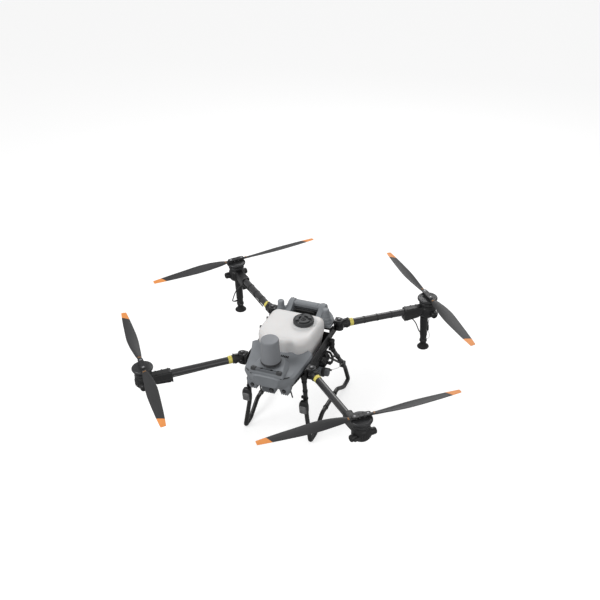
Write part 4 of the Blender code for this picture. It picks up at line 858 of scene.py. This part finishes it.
slabs = []
for x in cols:
    a, b = edge_y(x, 1.0)
    d = drop(x)
    slabs.append([(x, a, 0.5900 - d * 0.6), (x, a, 0.6050 - d), (x, a + 0.004, 0.6140 - d), (x, a + 0.010, 0.6190 - d), (x, b - 0.012, 0.6190 - d), (x, b - 0.004, 0.6130 - d), (x, b, 0.6040 - d), (x, b, 0.5880 - d * 0.6)])
rear = loft("rear", slabs, GREY, angle=28)
bayc = box("bayc", -0.0865, 0.0865, 0.1740, 0.2860, 0.540, 0.760, GREY, None, 0)
und = box("und", -0.178, 0.178, 0.182, 0.262, 0.540, 0.5960, GREY, None, 0)
for c in (und, bayc):
    c.hide_render = True
    m = rear.modifiers.new("c", "BOOLEAN")
    m.operation = "DIFFERENCE"
    m.object = c
bevel(rear, 0.0022, 3, 25)
parts = [merge("rear_skin", [rear])]
bpy.data.objects.remove(bayc, do_unlink=True)
bpy.data.objects.remove(und, do_unlink=True)
for s in (1, -1):                        # slanted shoulders with a stepped outer flank
    arch = [(0.171, 0.600), (0.171, 0.6240), (0.182, 0.6290), (0.215, 0.6420), (0.255, 0.6640), (0.272, 0.6710), (0.292, 0.6720), (0.306, 0.6680), (0.316, 0.6560), (0.322, 0.6200), (0.322, 0.600)]
    sh = loft("shoulder", [[(s * 0.0890, y, z) for y, z in arch], [(s * 0.1240, y, z) for y, z in arch], [(s * 0.1300, 0.172 + (y - 0.171) * 0.96, 0.600 + (z - 0.600) * 0.86) for y, z in arch]], GREY, angle=24)
    bevel(sh, 0.0034, 4, 22)
    parts.append(sh)
    parts.append(revolve("pad", [(0.0, 0.600), (0.0350, 0.600), (0.0350, 0.6130), (0.0330, 0.6165), (0.0, 0.6180)], GREY, Matrix.Translation((s * 0.157, 0.208, 0)), 48))
    for y in (0.186, 0.300):
        parts.append(bolt("b", s * 0.1080, y, 0.6295 if y < 0.2 else 0.6700, None, 0.0042, 0.0020, "Z", ALLOY_B))
bar = [(0.2600, 0.6360), (0.2600, 0.6560), (0.2660, 0.6640), (0.2900, 0.6655), (0.3060, 0.6620), (0.3140, 0.6540), (0.3160, 0.6300), (0.3160, 0.6200), (0.2860, 0.6200), (0.2860, 0.6360)]
br = loft("bar", [[(x, y, z) for y, z in bar] for x in (-0.0905, 0.0905)], GREY, angle=24)
bevel(br, 0.0026, 4, 22)
parts.append(br)
st2 = loft("plate", [[(x, y, z) for y, z in ((0.2640, 0.6640), (0.2700, 0.6668), (0.2900, 0.6682), (0.3020, 0.6650), (0.3020, 0.6600), (0.2640, 0.6600))] for x in (-0.074, 0.074)], GREY, angle=24)
bevel(st2, 0.0012, 2, 22)
parts.append(st2)
done(merge("rear_cover", parts), "airframe", "rear_shell")
for s, nm in ((1, "left"), (-1, "right")):
    prof = [(0.0, 0.6180), (0.0300, 0.6180), (0.0300, 0.6310), (0.0285, 0.6345), (0.0255, 0.6375), (0.0245, 0.6450), (0.0240, 0.6520), (0.0222, 0.6560), (0.0216, 0.6600), (0.0212, 0.6860), (0.0200, 0.6925), (0.0165, 0.6962), (0.0, 0.6970)]
    parts = [revolve("gnss", prof, GREY, Matrix.Translation((s * 0.157, 0.208, 0)), 56)]
    for q in range(3):
        parts.append(bolt("b", s * 0.157 + 0.0262 * cos(q * 2.094 + 0.5), 0.208 + 0.0262 * sin(q * 2.094 + 0.5), 0.6350, None, 0.0024, 0.0016, "Z", ALLOY_B))
    done(merge("gnss_dome_" + nm, parts), "airframe", "gnss_antenna_" + nm)
    prof = [(0.0, 0.3005), (0.0028, 0.3010), (0.0042, 0.3040), (0.0046, 0.3720), (0.0052, 0.3760), (0.0052, 0.4100), (0.0066, 0.4130), (0.0066, 0.4360), (0.0090, 0.4390), (0.0090, 0.4530), (0.0, 0.4530)]
    top, tipp = Vector((s * 0.098, -0.300, 0.4640)), Vector((s * 0.109, -0.266, 0.3160))
    tilt = (top - tipp).normalized().to_track_quat("Z", "Y").to_matrix().to_4x4()
    done(revolve("whip_" + nm, prof, RUBBER, Matrix.Translation(tipp) @ tilt @ Matrix.Translation((0, 0, -0.3005)), 28), "airframe", "whip_antenna_" + nm)

# ------------------------------------------------------------------ battery with ribs, catches and a carrying handle
parts = [box("case", -0.0815, 0.0815, 0.1785, 0.2815, 0.3904, 0.6020, DARK, None, 0.005, 4)]
for q in range(9):
    x = -0.064 + q * 0.016
    parts.append(box("rib", x - 0.0030, x + 0.0030, 0.1775, 0.2825, 0.405, 0.585, DARK, None, 0.0012, 2))
parts.append(box("cap", -0.0800, 0.0800, 0.1800, 0.2800, 0.6000, 0.6090, BLACK, None, 0.003, 3))
parts.append(box("panel", -0.0300, 0.0300, 0.2440, 0.2700, 0.6080, 0.6100, RUBBER, None, 0.0008, 2))
for q in range(4):
    parts.append(revolve("led", [(0.0, 0.6095), (0.0028, 0.6095), (0.0024, 0.6106), (0.0, 0.6108)], LAMP, Matrix.Translation((-0.018 + q * 0.012, 0.257, 0)), 16))
path = fillet_path([(-0.064, 0.230, 0.604), (-0.064, 0.230, 0.6320), (0.064, 0.230, 0.6320), (0.064, 0.230, 0.604)], 0.010)
parts.append(sweep("handle", path, 0.0062, RUBBER, None, 20))
for s in (1, -1):
    parts.append(box("foot", s * 0.0560, s * 0.0740, 0.2200, 0.2400, 0.6040, 0.6160, BLACK, None, 0.002, 2))
done(merge("battery_pack", parts), "battery", "battery")

# ------------------------------------------------------------------ landing gear with sleeves, clamps and feet
GR = 0.0142
for s, nm in ((1, "left"), (-1, "right")):
    pts = [(0.186, -0.250, 0.5050), (0.186, -0.250, 0.4440), (0.1910, -0.254, 0.3900), (0.1980, -0.262, 0.2000), (0.2270, -0.288, GR), (0.2290, -0.205, GR), (0.2310, -0.083, 0.0870),
           (0.2330, 0.187, 0.0830), (0.2350, 0.305, GR), (0.2330, 0.400, GR), (0.2300, 0.345, 0.155), (0.2175, 0.145, 0.4440), (0.2175, 0.145, 0.5050)]
    pts = [Vector((s * x, y, z)) for x, y, z in pts]
    path = fillet_path(pts, 0.020, 12)
    parts = [sweep("tube", path, GR, GEAR, None, 28)]

    def sleeve(a, b, t0, t1, r, mat=RUBBER):
        p, q = pts[a].lerp(pts[b], t0), pts[a].lerp(pts[b], t1)
        d = (q - p)
        L = d.length
        M = Matrix.Translation(p) @ d.to_track_quat("Z", "Y").to_matrix().to_4x4()
        return revolve("sleeve", [(GR - 0.001, 0), (r - 0.0008, 0), (r, 0.0010), (r, L - 0.001), (r - 0.0008, L), (GR - 0.001, L)], mat, M, 32)

    for a, b, t0, t1, r in ((0, 1, 0.45, 0.98, 0.0175), (2, 3, 0.00, 0.08, 0.0165), (2, 3, 0.30, 0.36, 0.0175), (2, 3, 0.76, 0.82, 0.0165), (6, 7, 0.20, 0.24, 0.0172), (6, 7, 0.78, 0.82, 0.0172), (10, 11, 0.30, 0.33, 0.0170), (10, 11, 0.56, 0.60, 0.0172), (10, 11, 0.90, 0.97, 0.0165), (11, 12, 0.10, 0.45, 0.0175)):
        parts.append(sleeve(a, b, t0, t1, r))
    for a, b, t in ((2, 3, 0.30), (10, 11, 0.575), (10, 11, 0.94)):
        p = pts[a].lerp(pts[b], t)
        parts.append(box("ear", p.x - s * 0.0275, p.x - s * 0.0120, p.y - 0.007, p.y + 0.007, p.z - 0.009, p.z + 0.009, BLACK, None, 0.002, 2))
        parts.append(bolt("b", p.x - s * 0.0200, p.y - 0.007, p.z, None, 0.0038, 0.0026, "Y", STEEL, flip=False))
    done(merge("skid_" + nm, parts), "airframe", "landing_gear_" + nm)
    # lamp on the front leg: domed black housing, ribbed lens, yoke
    L1 = Matrix.Translation((s * 0.1950, -0.2920, 0.2860)) @ Matrix.Rotation(radians(5), 4, "X") @ Matrix.Scale(1.22, 4)
    prof = []
    rings = [rounded(-hx, hx, -hy + oy, hy + oy, 0.009, 0.009, z, 6) for z, hx, hy, oy in ((-0.0385, 0.019, 0.008, 0.0), (-0.036, 0.0225, 0.0115, 0.0), (-0.010, 0.0240, 0.0145, 0.0), (0.012, 0.0240, 0.0150, 0.0), (0.026, 0.0215, 0.0140, 0.001), (0.0345, 0.0170, 0.0110, 0.002), (0.0385, 0.0110, 0.0070, 0.003))]
    parts = [loft("house", rings, BLACK, L1, angle=40)]
    parts.append(loft("bezel", [rounded(-0.0210, 0.0210, -0.0270, 0.0270, 0.007, 0.007, 0.0, 6), rounded(-0.0200, 0.0200, -0.0260, 0.0260, 0.006, 0.006, 0.0040, 6)], DARK, L1 @ Matrix.Translation((0, -0.0125, -0.0085)) @ Matrix.Rotation(radians(90), 4, "X")))
    parts.append(loft("glass", [rounded(-0.0180, 0.0180, -0.0240, 0.0240, 0.005, 0.005, 0.0030, 6), rounded(-0.0172, 0.0172, -0.0232, 0.0232, 0.005, 0.005, 0.0052, 6)], LAMP, L1 @ Matrix.Translation((0, -0.0125, -0.0085)) @ Matrix.Rotation(radians(90), 4, "X")))
    for q in range(6):
        parts.append(box("rib", -0.0155 + q * 0.0062 - 0.0008, -0.0155 + q * 0.0062 + 0.0008, -0.0196, -0.0168, -0.0310, 0.0140, BLACK, L1, 0.0004, 1))
    for q in range(5):
        parts.append(box("fin", -0.0180, 0.0180, 0.0120, 0.0190, -0.026 + q * 0.0095, -0.0235 + q * 0.0095, BLACK, L1, 0.0006, 1))
    parts.append(box("yoke", -0.0090, 0.0090, 0.0120, 0.0200, -0.014, 0.020, BLACK, L1, 0.003, 3))
    done(merge("spotlight_housing_" + nm, parts), "airframe", "spotlight_" + nm)

    # ---------------------------------------------------------------- pump, its motor, elbows, strut and lines
    K = Matrix.Translation((s * 0.2040, 0.032, 0.4270)) @ Matrix.Rotation(radians(-90), 4, "Z")
    prof = [(0.0, -0.046), (0.0250, -0.046), (0.0280, -0.043), (0.0285, -0.030), (0.0275, -0.028), (0.0275, 0.004), (0.0300, 0.006), (0.0340, 0.010), (0.0345, 0.036), (0.0330, 0.040), (0.0300, 0.042), (0.0290, 0.050), (0.0250, 0.053), (0.0180, 0.054), (0.0170, 0.050), (0.0, 0.050)]
    parts = [revolve("pump", prof, BLACK, K, 56, "X")]
    for q in range(18):
        a = 2 * pi * q / 18
        parts.append(box("fin", -0.028, 0.002, 0.0270, 0.0300, -0.0012, 0.0012, DARK, K @ Matrix.Rotation(a, 4, "X"), 0.0004, 1))
    for q in range(6):
        a = 2 * pi * q / 6 + 0.3
        parts.append(bolt("b", 0.042, 0.0290 * cos(a), 0.0290 * sin(a), K, 0.0030, 0.0030, "X"))
    parts.append(revolve("hub", [(0.0, 0.049), (0.0140, 0.049), (0.0125, 0.0560), (0.0060, 0.0580), (0.0, 0.0580)], DARK, K, 32, "X"))
    out = Matrix.Translation((s * 0.2040, 0.012, 0.4270)) @ Matrix.Rotation(0 if s > 0 else pi, 4, "Z")
    parts.append(revolve("outlet", [(0.0, 0.020), (0.0105, 0.020), (0.0105, 0.044), (0.0125, 0.045), (0.0125, 0.056), (0.0095, 0.058), (0.0, 0.058)], BLACK, out, 28, "X"))
    parts.append(box("foot", -0.038, 0.002, -0.018, 0.018, 0.018, 0.046, BLACK, K, 0.003, 2))
    # second unit ahead of it: grey motor can lying outboard, black clamp ring, dark end bell (shell grey darkened as
    # painted shade) and connector
    K2 = Matrix.Translation((s * 0.1800, -0.050, 0.3960)) @ Matrix.Rotation(0 if s > 0 else pi, 4, "Z")
    can = [(0.0, -0.030), (0.0260, -0.030), (0.0285, -0.027), (0.0290, 0.044), (0.0300, 0.046), (0.0320, 0.048), (0.0320, 0.060), (0.0300, 0.062), (0.0250, 0.062), (0.0240, 0.066), (0.0235, 0.086), (0.0215, 0.090), (0.0120, 0.092), (0.0, 0.092)]
    parts.append(revolve("can", [q for q in can if q[1] <= 0.046] + [(0.0, 0.046)], GREY, K2, 48, "X"))
    parts.append(revolve("ring", [(0.0, 0.0455)] + [q for q in can if 0.046 <= q[1] <= 0.066] + [(0.0, 0.066)], BLACK, K2, 48, "X"))
    parts.append(revolve("bell", [(0.0, 0.0655)] + [q for q in can if q[1] >= 0.066], GREY_PAINTED_SHADE, K2, 48, "X", ribs=(24, -0.0010, 0.068, 0.084)))
    for q in range(4):
        a = 2 * pi * q / 4 + 0.5
        parts.append(bolt("b", 0.062, 0.0270 * cos(a), 0.0270 * sin(a), K2, 0.0026, 0.0024, "X", ALLOY_B))
    parts.append(box("plug", 0.046, 0.088, 0.020, 0.036, -0.004, 0.012, BLACK, K2, 0.003, 3))
    parts.append(box("tail", 0.084, 0.100, 0.023, 0.033, -0.001, 0.009, RUBBER, K2, 0.002, 2))
    parts.append(box("cradle", -0.026, 0.022, -0.016, 0.016, 0.020, 0.068, BLACK, K2, 0.003, 2))
    done(merge("spray_pump_" + nm, parts), "airframe", "pump_" + nm)
    hose = fillet_path([(s * 0.252, 0.012, 0.4270), (s * 0.2640, 0.014, 0.4290), (s * 0.2620, 0.050, 0.4390), (s * 0.2280, 0.090, 0.4500), (s * 0.1700, 0.098, 0.4480)], 0.014, 8)
    done(sweep("suction_hose_" + nm, hose, 0.0078, HOSE, None, 20), "airframe")
    hose = fillet_path([(s * 0.2000, -0.070, 0.4000), (s * 0.2080, -0.095, 0.4050), (s * 0.2080, -0.130, 0.4550), (s * 0.1900, -0.160, 0.4900), (s * 0.1700, -0.150, 0.5000)], 0.03, 8)
    done(sweep("pressure_hose_" + nm, hose, 0.0062, HOSE, None, 18), "airframe")
    strut = fillet_path([(s * 0.2040, 0.060, 0.4270), (s * 0.2120, 0.095, 0.4060), (s * 0.2285, 0.312, 0.2020)], 0.02, 8)
    parts = [sweep("strut", strut, 0.0074, GEAR, None, 18)]
    parts.append(box("lug", s * 0.2100, s * 0.2420, 0.292, 0.334, 0.186, 0.220, BLACK, None, 0.004, 3))
    done(merge("gear_strut_" + nm, parts), "airframe")
    wire = fillet_path([(s * 0.2700, -0.024, 0.4000), (s * 0.2760, 0.030, 0.3720), (s * 0.2620, 0.150, 0.2950), (s * 0.2380, 0.268, 0.2420)], 0.04, 10)
    done(sweep("sensor_wire_" + nm, wire, 0.0016, HOSE_C, None, 10), "airframe")

# ------------------------------------------------------------------ centre frame: plates, channel rails, truss sides and sockets
parts = [box("belly", -0.2040, 0.2040, -0.150, 0.155, 0.4620, 0.4680, BLACK, None, 0.0015, 2), box("tongue", -0.083, 0.083, -0.330, -0.148, 0.4620, 0.4678, BLACK, None, 0.0012, 2),
         box("bulkhead", -0.2010, 0.2010, 0.1560, 0.1620, 0.4640, 0.5520, BLACK, None, 0.0012, 2), box("heel", -0.150, 0.150, 0.150, 0.160, 0.463, 0.467, BLACK, None, 0)]
for s in (1, -1):
    parts.append(slab("rail", [(s * 0.1985, 0.5000), (s * 0.2052, 0.5000), (s * 0.2052, 0.5045), (s * 0.2030, 0.5065), (s * 0.2030, 0.5495), (s * 0.2052, 0.5515), (s * 0.2052, 0.5560), (s * 0.1985, 0.5560)], -0.268, 0.268, ALLOY_B, None, 0.0008, 2, "xz"))
    parts.append(box("sill", s * 0.1985, s * 0.2046, -0.149, 0.154, 0.463, 0.4740, ALLOY_B, None, 0.001, 2))
    for y0, y1 in ((-0.146, -0.118), (-0.020, 0.004), (0.124, 0.152)):
        parts.append(box("post", s * 0.1988, s * 0.2046, y0, y1, 0.470, 0.504, ALLOY_B, None, 0.001, 2))
    for a, b in (((-0.118, 0.472), (-0.020, 0.502)), ((0.004, 0.502), (0.124, 0.472))):
        d = Vector((0, b[0] - a[0], b[1] - a[1]))
        nrm = Vector((0, -d.z, d.y)).normalized() * 0.0045
        ring = [(a[0] + nrm.y, a[1] + nrm.z), (a[0] - nrm.y, a[1] - nrm.z), (b[0] - nrm.y, b[1] - nrm.z), (b[0] + nrm.y, b[1] + nrm.z)]
        parts.append(slab("brace", ring, s * 0.1995, s * 0.2040, ALLOY_B, None, 0.0006, 1, "yz"))
    for y in (-0.256, -0.190, -0.130, -0.010, 0.138, 0.196, 0.256):
        for z in ((0.518, 0.540) if abs(y) > 0.15 else (0.528,)):
            parts.append(bolt("b", s * 0.2030, y, z, None, 0.0040, 0.0021, "X", STEEL if abs(y) > 0.2 else ALLOY_B, flip=(s < 0)))
    for gx, gy in ((0.186, -0.250), (0.2175, 0.145)):
        parts.append(revolve("socket", [(0.0142, 0.4700), (0.0190, 0.4700), (0.0200, 0.4715), (0.0200, 0.4790), (0.0185, 0.4805), (0.0185, 0.5000), (0.0200, 0.5015), (0.0200, 0.5085), (0.0185, 0.5100), (0.0, 0.5100), (0.0, 0.5060), (0.0142, 0.5060)], BLACK, Matrix.Translation((s * gx, gy, 0)), 40))
        parts.append(box("tie", min(s * gx, s * 0.2000), max(s * gx, s * 0.2000), gy - 0.010, gy + 0.010, 0.476, 0.506, BLACK, None, 0.002, 2))
    # bracing knee between the rear rail end and the cover, and the tank latch post
    parts.append(slab("knee", [(0.170, 0.500), (0.268, 0.500), (0.268, 0.520), (0.230, 0.560), (0.186, 0.566), (0.170, 0.560)], s * 0.1915, s * 0.1975, BLACK, None, 0.001, 2, "yz"))
    parts.append(box("cross", s * 0.0880, s * 0.1960, 0.248, 0.262, 0.505, 0.519, BLACK, None, 0.001, 2))
done(merge("chassis", parts), "airframe", "centre_frame")
# electronics under the hood, flow meter, rear radar, tray: finer outer cases
parts = [box("case", -0.0795, 0.0795, -0.2895, -0.1905, 0.4688, 0.5260, DARK, None, 0.004, 3)]
for q in range(12):
    parts.append(box("fin", -0.070 + q * 0.0127 - 0.0014, -0.070 + q * 0.0127 + 0.0014, -0.284, -0.196, 0.524, 0.5300, ALLOY_B, None, 0.0005, 1))
for s in (1, -1):
    for q in range(2):
        parts.append(revolve("gland", [(0.0, 0.0), (0.0090, 0.0), (0.0090, 0.006), (0.0070, 0.008), (0.0070, 0.013), (0.0, 0.013)], RUBBER, Matrix.Translation((s * (0.026 + q * 0.030), -0.1905, 0.497)), 24, "Y"))
done(merge("flight_controller_case", parts), "airframe", "avionics_box")
parts = [box("body", -0.0295, 0.0295, 0.0605, 0.1095, 0.4205, 0.4612, DARK, None, 0.004, 3)]
for s in (1, -1):
    parts.append(revolve("port", [(0.0, 0.026), (0.0110, 0.026), (0.0110, 0.034), (0.0085, 0.036), (0.0085, 0.046), (0.0100, 0.047), (0.0078, 0.054), (0.0, 0.054)], BLACK, Matrix.Translation((0, 0.085, 0.441)) @ Matrix.Rotation(0 if s > 0 else pi, 4, "Z"), 28, "X"))
    for y in (0.066, 0.104):
        parts.append(bolt("b", s * 0.024, y, 0.4205, None, 0.0030, 0.0022, "Z", STEEL, flip=True))
done(merge("flow_meter_body", parts), "airframe", "flow_meter")
for s, nm in ((1, "left"), (-1, "right")):
    h = fillet_path([(s * 0.050, 0.085, 0.441), (s * 0.080, 0.085, 0.441), (s * 0.120, 0.088, 0.436), (s * 0.160, 0.088, 0.430), (s * 0.190, 0.080, 0.427)], 0.02, 8)
    done(sweep("meter_hose_" + nm, h, 0.0066, HOSE, None, 18), "airframe")
parts = [box("case", -0.0545, 0.0545, 0.3326, 0.3540, 0.5405, 0.5995, DARK, None, 0.005, 4), box("face", -0.0460, 0.0460, 0.3530, 0.3562, 0.5480, 0.5920, BLACK, None, 0.0014, 2)]
for sx_ in (1, -1):
    for z in (0.5450, 0.5950):
        parts.append(bolt("b", sx_ * 0.0500, 0.3540, z, None, 0.0030, 0.0018, "Y", STEEL, flip=False))
done(merge("rear_radar_case", parts), "airframe", "rear_radar")
parts = [box("floor", -0.0900, 0.0900, 0.1700, 0.2900, 0.3790, 0.3860, BLACK, None, 0.002, 2)]
for q in range(7):
    parts.append(box("slat", -0.078 + q * 0.026 - 0.004, -0.078 + q * 0.026 + 0.004, 0.174, 0.286, 0.3850, 0.3896, BLACK, None, 0.001, 1))
for s in (1, -1):
    parts.append(slab("cheek", [(0.1704, 0.3800), (0.2896, 0.3800), (0.2896, 0.4400), (0.2700, 0.4700), (0.2700, 0.5100), (0.2500, 0.5300), (0.1704, 0.5300)], s * 0.0842, s * 0.0898, BLACK, None, 0.001, 2, "yz"))
    for z in (0.400, 0.430, 0.460):
        parts.append(box("rib", s * 0.0895, s * 0.0915, 0.178, 0.284 if z < 0.45 else 0.266, z - 0.002, z + 0.002, BLACK, None, 0.0006, 1))
parts.append(box("hook", -0.0896, 0.0896, 0.1624, 0.1740, 0.4700, 0.5300, BLACK, None, 0.002, 2))
done(merge("battery_cradle", parts), "airframe", "battery_tray")
parts = [revolve("motor", [(0.0, 0.6222), (0.018, 0.6222), (0.0185, 0.6240), (0.0185, 0.6300), (0.0170, 0.6318), (0.0, 0.6320)], ALLOY_B, Matrix.Translation((0, RAD_Y, 0)), 40), box("panel", -0.038, 0.038, RAD_Y - 0.0078, RAD_Y + 0.0078, 0.6305, 0.7500, SILVER, None, 0.0016, 2)]
for i in range(5):
    for j in range(7):
        for s in (1, -1):
            x, z = -0.0300 + i * 0.0150, 0.6460 + j * 0.0148
            parts.append(box("patch", x - 0.0050, x + 0.0050, RAD_Y + s * 0.0076, RAD_Y + s * 0.0086, z - 0.0050, z + 0.0050, ALLOY_B, None, 0, 1))
done(merge("radar_array", parts), "radar_antenna", "radar_antenna")

# ------------------------------------------------------------------ stage
floor_me = bpy.data.meshes.new("floor")
S = 30.0
floor_me.from_pydata([(-S, -S, -G - 0.0005), (S, -S, -G - 0.0005), (S, S, -G - 0.0005), (-S, S, -G - 0.0005)], [], [(0, 1, 2, 3)])
FLOOR, fnt, fb = new_mat("floor")
fb.inputs["Base Color"].default_value = (0.50, 0.50, 0.50, 1)
fb.inputs["Roughness"].default_value = 0.9
flp = add(fnt, "ShaderNodeLightPath")
fem = add(fnt, "ShaderNodeMapRange")
fem.inputs["To Min"].default_value = 0.0
fem.inputs["To Max"].default_value = 0.66
fnt.links.new(flp.outputs["Is Camera Ray"], fem.inputs["Value"])
fb.inputs["Emission Color"].default_value = (1.0, 1.0, 1.0, 1)
fnt.links.new(fem.outputs["Result"], fb.inputs["Emission Strength"])
floor_me.materials.append(FLOOR)
floor = bpy.data.objects.new("floor", floor_me)
bpy.context.scene.collection.objects.link(floor)

world = bpy.data.worlds.new("studio")
bpy.context.scene.world = world
world.use_nodes = True
bg = world.node_tree.nodes["Background"]
bg.inputs["Color"].default_value = (1.0, 1.0, 1.0, 1)
lp = add(world.node_tree, "ShaderNodeLightPath")
st_n = add(world.node_tree, "ShaderNodeMapRange")
st_n.inputs["To Min"].default_value = 0.50
st_n.inputs["To Max"].default_value = 1.0
world.node_tree.links.new(lp.outputs["Is Camera Ray"], st_n.inputs["Value"])
world.node_tree.links.new(st_n.outputs["Result"], bg.inputs["Strength"])


def area(name, loc, target, size, power):
    l = bpy.data.lights.new(name, "AREA")
    l.size = size
    l.energy = power
    o = bpy.data.objects.new(name, l)
    bpy.context.scene.collection.objects.link(o)
    o.location = loc
    o.rotation_euler = (Vector(target) - Vector(loc)).to_track_quat("-Z", "Y").to_euler()


area("key", (-2.4, -2.2, 3.8), (0, 0, 0.1), 2.2, 105)
area("fill", (3.4, -2.6, 2.0), (0, 0, 0.1), 2.0, 22)
area("back", (-0.4, 3.6, 3.0), (0, 0, 0.1), 2.4, 60)

# ------------------------------------------------------------------ camera
AZ, EL, DIST = radians(23.692875), radians(32.951757), 6.47388
TARGET = Vector((-0.0856577, 0.3732519, 0.612 - G))
back = Vector((sin(AZ) * cos(EL), -cos(AZ) * cos(EL), sin(EL)))
cam_d = bpy.data.cameras.new("camera")
cam_d.sensor_width = 36.0
cam_d.lens = 970.93 / 600 * 36.0
cam_d.shift_x = -(301.11 - 300.0) / 600
cam_d.shift_y = (299.90 - 300.0) / 600
cam_d.clip_end = 100
cam = bpy.data.objects.new("camera", cam_d)
bpy.context.scene.collection.objects.link(cam)
pos = TARGET + back * DIST
fw = (-back).normalized()
rt = fw.cross(Vector((0, 0, 1))).normalized()
upv = rt.cross(fw)
roll = radians(-2.395511)
rt2 = rt * cos(roll) + upv * sin(roll)
up2 = upv * cos(roll) - rt * sin(roll)
cam.matrix_world = Matrix(((rt2.x, up2.x, -fw.x, pos.x), (rt2.y, up2.y, -fw.y, pos.y), (rt2.z, up2.z, -fw.z, pos.z), (0, 0, 0, 1)))
bpy.context.scene.camera = cam
bpy.context.scene.view_settings.view_transform = "Standard"
bpy.context.scene.view_settings.look = "None"
